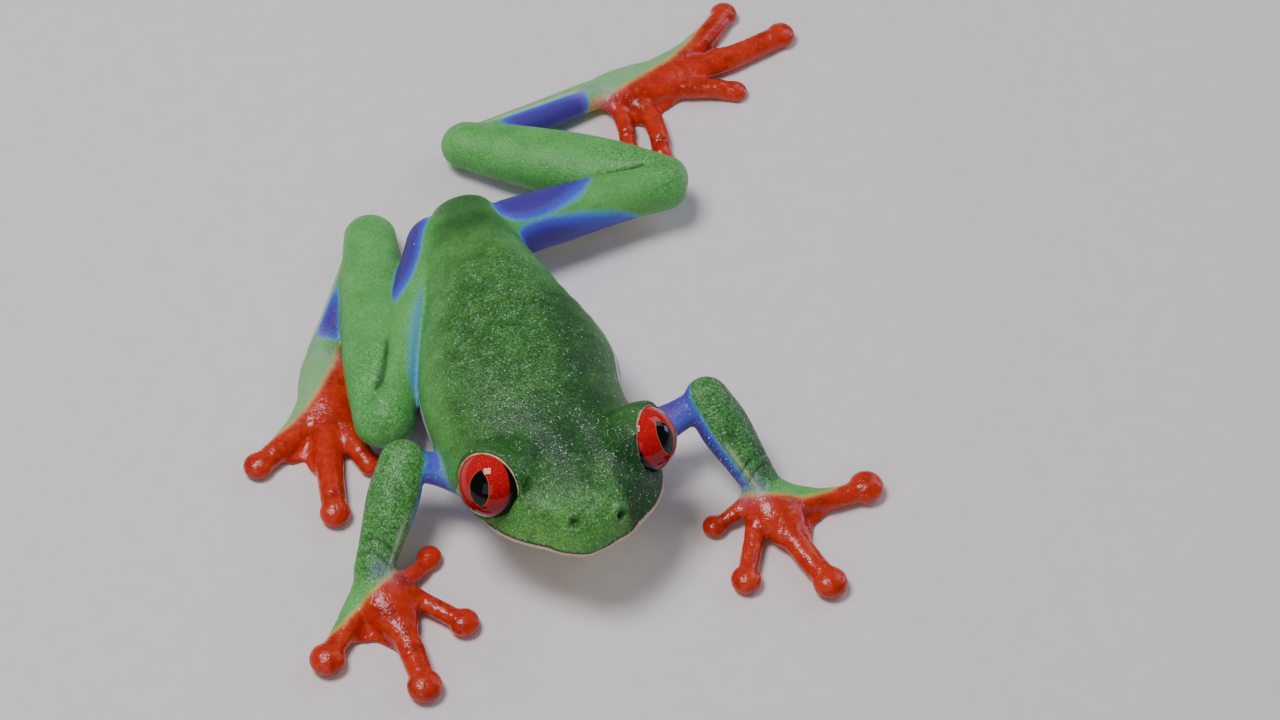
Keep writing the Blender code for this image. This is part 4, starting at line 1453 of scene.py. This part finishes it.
# %% Granules: uneven cells, each with its own random tone, and painted shade between them
wobble = add(tree, NOISE, {"Vector": place, "Scale": 1 / WOBBLE, "Detail": 1.0}, take="Color")
moved = (wobble, (WOBBLE_REACH,) * 3, place)  # wobble * reach + place
bent = add(tree, "ShaderNodeVectorMath", moved, take=0, operation="MULTIPLY_ADD")
domes = add(tree, "ShaderNodeTexVoronoi", {"Vector": bent, "Scale": 1 / GRANULE}).outputs
luck = add(tree, "ShaderNodeSeparateColor", (domes["Color"],), take=0)
# painted light and shade: each granule lighter in its middle, darker at its edges
dome_shade = add(tree, RANGE, (domes["Distance"], 0.12, 0.75, 1.3, 0.5), take=0)
luck_shade = add(tree, RANGE, (luck, 0.0, 1.0, 0.75, 1.25), take=0)
shade = add(tree, MATH, (dome_shade, luck_shade), take=0, operation="MULTIPLY")
patch = add(tree, NOISE, {"Vector": place, "Scale": 1 / MOTTLE, "Detail": 4.0}, take=0)
wrinkle = add(tree, NOISE, {"Vector": place, "Scale": 1 / WRINKLE, "Detail": 3.0}, take=0)
print("nodes so far:", len(tree.nodes))

# %% Each colour's edge, a little uneven
frayed = add(tree, NOISE, {"Vector": place, "Scale": 1 / FRAY, "Detail": 2.0}, take=0)
roughen = add(tree, RANGE, (frayed, 0.0, 1.0, -0.16, 0.16), take=0)
cool = add(tree, MATH, (signal["cool"], roughen), take=0, operation="ADD")
pale = add(tree, MATH, (signal["pale"], roughen), take=0, operation="ADD")
warm = add(tree, MATH, (signal["warm"], roughen), take=0, operation="ADD")
print("nodes so far:", len(tree.nodes))

# %% The pigments' own ramps
lightness = add(tree, MATH, (patch, signal["deep"]), take=0, operation="SUBTRACT")
lightness = add(tree, RANGE, (lightness, -0.35, 0.85), take=0)
violet_place = add(tree, RANGE, (cool, -0.3, 2.2), take=0)
tones = {}
for name, stops, value in (
    ("green", GREENS, lightness),
    ("mint", MINTS, lightness),
    ("violet", VIOLETS, violet_place),
    ("warm", WARMING, warm),
):
    ramp = add(tree, "ShaderNodeValToRGB", (value,))
    set_stops(ramp.color_ramp, stops)
    tones[name] = ramp.outputs[0]
print("pigments:", *tones)

# %% Glints: painted highlights, flecks on some cells, crowded where the skin glistens, few of them fully bright
cells = add(tree, "ShaderNodeTexVoronoi", {"Vector": bent, "Scale": 1 / GLINT_CELL}).outputs
lots = add(tree, "ShaderNodeSeparateColor", (cells["Color"],)).outputs
clusters = add(tree, NOISE, {"Vector": place, "Scale": 1 / CROWD, "Detail": 3.0}, take=0)
crowd = add(tree, RANGE, (clusters, 0.38, 0.62, 0.1, 1.3), take=0)
scattered = add(tree, MATH, (crowd, signal["spark"]), take=0, operation="MULTIPLY")
massed = add(tree, MATH, (signal["frost"], 0.5), take=0, operation="MULTIPLY")
wanted = add(tree, MATH, (scattered, massed), take=0, operation="MAXIMUM")
drawn = add(tree, MATH, (wanted, lots[0]), take=0, operation="GREATER_THAN")
bright = add(tree, MATH, (lots[1], 1.6), take=0, operation="POWER")
lifted = (signal["frost"], 0.35, bright)  # the massed glints' share * 0.35 + bright
bright = add(tree, MATH, lifted, take=0, operation="MULTIPLY_ADD", use_clamp=True)
dot = add(tree, RANGE, (cells["Distance"], 0.46, 0.16), take=0)
glint = add(tree, MATH, (drawn, dot), take=0, operation="MULTIPLY")
strength = add(tree, RANGE, (bright, 0.0, 1.0, 0.35, 1.0), take=0)
glint = add(tree, MATH, (glint, strength), take=0, operation="MULTIPLY")
tints = (bright, linear(GLINT_LOW), linear(GLINT))
gleam = add(tree, "ShaderNodeMix", dict(zip((0, 6, 7), tints)), take=2, data_type="RGBA")
print("nodes so far:", len(tree.nodes))

# %% How much of each layer shows
grain = add(tree, RANGE, (signal["spark"], 0.0, 0.4, 0.3, 1.0), take=0)
warm_share = add(tree, RANGE, (signal["warm"], 0.02, 0.2), take=0)
blotch = add(tree, RANGE, (patch, 0.45, 0.7, 0.0, 0.75), take=0)
blotch = add(tree, MATH, (signal["warm"], blotch), take=0, operation="MULTIPLY")
blush = add(tree, RANGE, (wrinkle, 0.5, 0.7, 0.0, 0.35), take=0)
blush = add(tree, MATH, (signal["warm"], blush), take=0, operation="MULTIPLY")
cream_line = add(tree, RANGE, (pale, -0.34, -0.16), take=0)
belly_share = add(tree, RANGE, (pale, -0.12, 0.12), take=0)
cool_share = add(tree, RANGE, (cool, -0.4, 0.35), take=0)
lip_floor = add(tree, RANGE, (signal["lip"], -0.26, -0.18), take=0)
lip_line = add(tree, RANGE, (signal["lip"], 0.9, 0.56), take=0)
lip_line = add(tree, MATH, (lip_line, lip_floor), take=0, operation="MULTIPLY")
lip_share = add(tree, RANGE, (signal["lip"], 0.54, 0.42), take=0)
lip_share = add(tree, MATH, (lip_share, lip_floor), take=0, operation="MULTIPLY")
print("nodes so far:", len(tree.nodes))

# %% The layers, each laid over the last
# painted light here: shade between granules, the glints, the lip's dark line, shade in creases
LAYERS = (  # share, colour, how it is laid
    (signal["mint"], tones["mint"], "MIX"),
    (grain, shade, "MULTIPLY"),
    (warm_share, tones["warm"], "MIX"),
    (blotch, linear(DEEP_RED), "MIX"),
    (blush, linear(ORANGE), "MIX"),
    (cream_line, linear(CREAM), "MIX"),
    (belly_share, linear(BELLY), "MIX"),
    (cool_share, tones["violet"], "MIX"),
    (signal["lilac"], linear(LILAC), "MIX"),
    (signal["wan"], linear(WAN), "MIX"),
    (lip_line, linear(LIP_SHADE), "MIX"),
    (lip_share, linear(LIP_EDGE), "MIX"),
    (glint, gleam, "MIX"),
    (signal["crease"], linear(CREASE_SHADE), "MIX"),
)
colour = tones["green"]
for share, over, how in LAYERS:
    settings = {0: share, 6: colour, 7: over}
    colour = add(tree, "ShaderNodeMix", settings, take=2, data_type="RGBA", blend_type=how)
tree.links.new(colour, shader.inputs["Base Color"])
print("layers over the green:", len(LAYERS))

# %% Wet gloss and granular relief
# glossier on the digits, and glossiest in the glints
gloss = add(tree, RANGE, (signal["warm"], 0.0, 1.0, 0.5, 0.22), take=0)
gloss = add(tree, MATH, (glint, -0.12, gloss), take=0, operation="MULTIPLY_ADD")
tree.links.new(gloss, shader.inputs["Roughness"])

# granules on the green, broader soft wrinkles on the digits
dome_depth = add(tree, RANGE, (signal["warm"], 0.0, 1.0, -0.06, -0.015), take=0)
low_domes = add(tree, MATH, (domes["Distance"], dome_depth), take=0, operation="MULTIPLY")
wrinkle_depth = add(tree, RANGE, (signal["warm"], 0.0, 1.0, 0.05, 0.16), take=0)
relief = add(tree, MATH, (wrinkle, wrinkle_depth, low_domes), take=0, operation="MULTIPLY_ADD")
raised = add(tree, "ShaderNodeBump", {"Height": relief, "Strength": 1.0, "Distance": MM}, take=0)
tree.links.new(raised, shader.inputs["Normal"])
tree.links.new(raised, shader.inputs["Coat Normal"])
print("nodes in all:", len(tree.nodes))

# %% Flesh under the skin, and what the skin stands for
# light goes a little way into skin, red the furthest; the mucus on it is a thin clear coat
shader.inputs["Subsurface Weight"].default_value = 0.12
shader.inputs["Subsurface Radius"].default_value = (1.0, 0.45, 0.25)
shader.inputs["Subsurface Scale"].default_value = 0.6 * MM
shader.inputs["IOR"].default_value = 1.42
shader.inputs["Coat Weight"].default_value = 0.1
shader.inputs["Coat Roughness"].default_value = 0.18

skin.data.materials.clear()
skin.data.materials.append(wet_skin)
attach(skin, "root")
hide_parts(*flesh_nodes)
print("the skin stands for", len(flesh_nodes), "solids")

# %% [markdown]
# ## The eyes
#
# The eye is a clear, wet ball with a scarlet iris under it and an upright pupil that narrows to a
# spindle by day. Past the iris's rim the ball is painted black, which shows as a dark crescent
# under the lids. The ball is turned round its own looking axis, where a UV sphere of Blender's would
# stand upright, so its points are fine where the pupil is. It keeps three measures for its material:
# the distance outside the pupil's edge, the distance inside the iris's rim, and its own direction,
# by which the iris's fibres are laid out.

# %% Eyeballs
IRIS_ANGLE = 71  # degrees from the iris's own axis to its rim
PUPIL_HALF_WIDTH = 0.28  # as shares of the eye's radius
PUPIL_HALF_HEIGHT = 0.54
PUPIL_POWER = 2.6  # over 1, the spindle's sides are rounder


def eyeball(side, rows=120, sides=160):
    """A sphere: the point (u, v) lies at angle u from the looking axis, at v round it. The pupil is
    |x / a| + |y / b|^power < 1, where x and y are the direction's parts across and upright."""
    eye = EYES[side]
    u = np.linspace(0, math.pi, rows + 2)[1:-1]
    rings = turned(eye, eye["radius"] * np.sin(u), eye["radius"] * np.cos(u), eye["gaze"], sides)
    pole = eye["gaze"][2] * eye["radius"]
    points, blocks = closed_tube(rings, eye["centre"] + pole, eye["centre"] - pole)
    outward = [block[:, ::-1] for block in blocks]  # these rings run from front to back
    name = f"eyeball_{side}"
    obj = object_from(name, mesh_from(name, points, outward))
    ahead = (points - eye["centre"]) / eye["radius"]
    gaze = ahead @ eye["gaze"].T
    tall = np.abs(gaze[:, 1] / PUPIL_HALF_HEIGHT) ** PUPIL_POWER
    spindle = np.abs(gaze[:, 0]) / PUPIL_HALF_WIDTH + tall - 1
    spindle = np.where(gaze[:, 2] > 0, spindle, 3) * PUPIL_HALF_WIDTH * eye["radius"]
    turn = np.arccos(np.clip(ahead @ eye["iris"], -1, 1))
    rim = (math.radians(IRIS_ANGLE) - turn) * eye["radius"]
    store(obj.data, "pupil", spindle)
    store(obj.data, "rim", rim)
    attribute = obj.data.attributes.new("gaze", "FLOAT_VECTOR", "POINT")
    attribute.data.foreach_set("vector", gaze.astype(np.float32).ravel())
    return obj


balls = {side: eyeball(side) for side in SIDES}
print("points an eye:", len(balls["left"].data.vertices))

# %% The scarlet iris
IRIS = ((0.15, "780112"), (0.55, "A80414"), (1.0, "C40A1A"))  # from the lower edge to the upper
FLECK = "E06A2A"
PUPIL_RIM = "A86C3C"
EYE_BLACK = "050304"
FIBRES = 14.0  # noise cells in the eye's radius of 4 mm, so that a fibre is 0.3 mm wide
SPECKS = 26.0  # and a golden speck 0.15 mm

cornea, tree, shader = new_material("scarlet_iris_under_clear_cornea")
gaze = add(tree, "ShaderNodeAttribute", take="Vector", attribute_name="gaze")
pupil = add(tree, "ShaderNodeAttribute", take="Fac", attribute_name="pupil")
rim = add(tree, "ShaderNodeAttribute", take="Fac", attribute_name="rim")
across, upright, _ = add(tree, "ShaderNodeSeparateXYZ", (gaze,)).outputs
flat = add(tree, "ShaderNodeCombineXYZ", (across, upright), take=0)
spoke = add(tree, "ShaderNodeVectorMath", (flat,), take=0, operation="NORMALIZE")
fibres = add(tree, NOISE, {"Vector": spoke, "Scale": FIBRES, "Detail": 3.0}, take=0)
specks = add(tree, NOISE, {"Vector": gaze, "Scale": SPECKS, "Detail": 4.0}, take=0)
height = add(tree, RANGE, (upright, -0.75, 0.7), take=0)
tone = add(tree, MATH, (fibres, 0.45, height), take=0, operation="MULTIPLY_ADD")
ramp = add(tree, "ShaderNodeValToRGB", (tone,))
set_stops(ramp.color_ramp, IRIS)
colour = ramp.outputs[0]
fleck = add(tree, RANGE, (specks, 0.57, 0.72), take=0)
fleck = add(tree, MATH, (fleck, height), take=0, operation="MULTIPLY")
gold = add(tree, RANGE, (pupil, 0.16, 0.07), take=0)
hole = add(tree, RANGE, (pupil, 0.07, 0.0), take=0)
black = add(tree, RANGE, (rim, 0.12, -0.06), take=0)
for share, over in ((fleck, FLECK), (gold, PUPIL_RIM), (hole, EYE_BLACK), (black, EYE_BLACK)):
    settings = {0: share, 6: colour, 7: linear(over)}
    colour = add(tree, "ShaderNodeMix", settings, take=2, data_type="RGBA")
tree.links.new(colour, shader.inputs["Base Color"])
print("nodes in the eye:", len(tree.nodes))

# %% The wet cornea over it
# the iris itself is matt; all its shine is the tear film, a clear coat of a cornea's IOR
shader.inputs["Roughness"].default_value = 0.3
shader.inputs["Specular IOR Level"].default_value = 0.0
shader.inputs["Coat Weight"].default_value = 1.0
shader.inputs["Coat Roughness"].default_value = 0.02
shader.inputs["Coat IOR"].default_value = 1.38

for side, ball in balls.items():
    ball.data.materials.append(cornea)
    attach(ball, "root")
    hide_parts(f"eye_{side}")
print("eyes:", [ball.name for ball in balls.values()])

# %% [markdown]
# ## The lids' edges
#
# Round each eye the skin ends in a thin moist edge, cream to pink, as wide as a pencil line. It is
# a ring: a small oval carried once round the eye's mouth, thicker above than below. It has a
# material of its own, so it is a piece of its own rather than one more fold of the skin.


# %% Lid rings
LID_PALENESS = {"right": 1.0, "left": 0.7}  # the left lid is the darker one


def lid_ring(side, turns=160, sides=14):
    """A ring: at v round the eye, an oval stands on the lids' cone. Its half sizes are a out from the
    ball and b along it, turned with the cone's angle m."""
    eye = EYES[side]
    across, upright, looks = eye["axes"]
    v = np.linspace(0, 2 * math.pi, turns, endpoint=False)[:, None]
    w = np.linspace(0, 2 * math.pi, sides, endpoint=False)[None, :]
    mouth = math.acos(LID_AHEAD / eye["radius"])
    out = eye["radius"] + 0.06 + (0.11 + 0.03 * np.sin(v)) * np.cos(w)
    ahead = 0.1 + 0.14 * np.sin(w)
    radius = out * math.sin(mouth) - ahead * math.cos(mouth)
    height = out * math.cos(mouth) + ahead * math.sin(mouth)
    radial = across * np.cos(v)[..., None] + upright * np.sin(v)[..., None]
    rings = eye["centre"] + radius[..., None] * radial + height[..., None] * looks
    here = (np.arange(turns) * sides)[:, None] + np.arange(sides)
    beside, beyond = np.roll(here, -1, 1), np.roll(here, -1, 0)
    quads = np.stack([here, beside, np.roll(beside, -1, 0), beyond], axis=-1)
    name = f"lid_edge_{side}"
    obj = object_from(name, mesh_from(name, rings.reshape(-1, 3), [quads.reshape(-1, 4)]))
    # painted shadow: paler on top and darker below, where the ring lies in shadow
    paleness = LID_PALENESS[side] * (0.5 + 0.5 * np.sin(v))
    store(obj.data, "upper", np.broadcast_to(paleness, radius.shape).ravel())
    return obj


rings = [lid_ring(side) for side in SIDES]
print("points a lid ring:", len(rings[0].data.vertices))

# %% Moist eyelid edge
# thin wet skin with little pigment: cream where it is thickest, brown where it lies in shadow
LID_TONES = ((0.0, "3D3A22"), (0.22, "B08C66"), (0.6, "F0D9BC"))
LID_MOTTLE = 0.8 * MM
lid_edge, tree, shader = new_material("moist_eyelid_edge")
place = add(tree, "ShaderNodeTexCoord", take="Object")
upper = add(tree, "ShaderNodeAttribute", take="Fac", attribute_name="upper")
mottle = add(tree, NOISE, {"Vector": place, "Scale": 1 / LID_MOTTLE, "Detail": 2.0}, take=0)
mixed = add(tree, MATH, (mottle, upper), take=0, operation="MULTIPLY")
ramp = add(tree, "ShaderNodeValToRGB", (mixed,))
set_stops(ramp.color_ramp, LID_TONES)
tree.links.new(ramp.outputs[0], shader.inputs["Base Color"])
shader.inputs["Roughness"].default_value = 0.3
for ring in rings:
    ring.data.materials.append(lid_edge)
    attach(ring, "root")
print("lid rings:", [ring.name for ring in rings])

# %% [markdown]
# ## Floor, light and camera
#
# The studio is plain: a pale floor, one large soft light overhead whose reflection stands high in
# each eye, and three weaker ones, from the front and from the frog's left. The camera looks down on
# the frog's face from ahead and a little to the frog's right, through a long lens.

# %% Floor
FLOOR_HALF = 3.0  # metres
BOARD = ((0.3, "EAE8E2"), (0.7, "EFEDE8"))
BOARD_FIBRE = 3 * MM
corner = np.linspace(-FLOOR_HALF, FLOOR_HALF, 9) / MM
grid_x, grid_y = np.meshgrid(corner, corner, indexing="ij")
flat = np.stack([grid_x, grid_y, np.full(grid_x.shape, FLOOR_Z)], axis=-1).reshape(-1, 3)
count = len(corner)
first = (np.arange(count - 1)[:, None] * count + np.arange(count - 1)).ravel()
squares = np.stack([first, first + count, first + count + 1, first + 1], axis=1)
floor = object_from("floor", mesh_from("floor", flat, [squares]))
# uncoated board: no gloss, and a faint cloudiness from its fibres
board, tree, shader = new_material("matt_pale_board")
place = add(tree, "ShaderNodeTexCoord", take="Object")
fibre = add(tree, NOISE, {"Vector": place, "Scale": 1 / BOARD_FIBRE, "Detail": 3.0}, take=0)
paper = add(tree, "ShaderNodeValToRGB", (fibre,))
set_stops(paper.color_ramp, BOARD)
tree.links.new(paper.outputs[0], shader.inputs["Base Color"])
shader.inputs["Roughness"].default_value = 0.75
floor.data.materials.append(board)
print("floor:", 2 * FLOOR_HALF, "m square")


# %% Lights
AIM = (0.01, -0.005, 0.005)
LIGHTS = (  # name, place and size in metres, watts, tint
    ("key", (-0.14, 0.04, 0.48), 0.18, 1.9, "FBF3FF"),
    ("side", (0.45, 0.2, 0.35), 0.3, 0.6, "F2F2FF"),
    ("window", (0.5, 0.045, 0.09), 0.12, 0.3, "C6B4FF"),
    ("front", (-0.35, -0.5, 0.35), 0.4, 0.45, "FFF6EC"),
)
AMBIENT = 0.19


def soft_light(name, place, size, power, tint):
    """A square area light at its place, turned to face AIM."""
    data = bpy.data.lights.new(name, "AREA")
    data.shape = "SQUARE"
    data.size = size
    data.energy = power
    data.color = linear(tint)[:3]
    light = bpy.data.objects.new(name, data)
    light.location = place
    light.rotation_euler = (Vector(AIM) - Vector(place)).to_track_quat("-Z", "Y").to_euler()
    bpy.context.scene.collection.objects.link(light)


for light in LIGHTS:
    soft_light(*light)
world = bpy.data.worlds.new("studio")
bpy.context.scene.world = world
world.use_nodes = True
background = world.node_tree.nodes["Background"]
background.inputs["Color"].default_value = linear("E6EAF0")
background.inputs["Strength"].default_value = AMBIENT

# %% Camera
AZIMUTH = -18.0  # degrees from straight ahead of the frog
ELEVATION = 52.0
LEAN = 0.7  # degrees that the camera is tipped about its own line of sight
AIM_POINT = Vector((15.5, -4.1, 0)) * MM
DISTANCE = 0.436  # metres
az, el, lean = (math.radians(angle) for angle in (AZIMUTH, ELEVATION, LEAN))
back = Vector((math.sin(az) * math.cos(el), -math.cos(az) * math.cos(el), math.sin(el)))
level = Vector((math.cos(az), math.sin(az), 0))
over = back.cross(level)
right = math.cos(lean) * level + math.sin(lean) * over
up = math.cos(lean) * over - math.sin(lean) * level
lens = bpy.data.cameras.new("camera")
lens.lens = 100
lens.sensor_width = 36
lens.clip_start = 0.01
camera = bpy.data.objects.new("camera", lens)
turned_to = Matrix((right, up, back)).transposed().to_4x4()
camera.matrix_world = Matrix.Translation(AIM_POINT + back * DISTANCE) @ turned_to
bpy.context.scene.collection.objects.link(camera)
bpy.context.scene.camera = camera
print("camera stands at, m:", [round(value, 3) for value in camera.location])
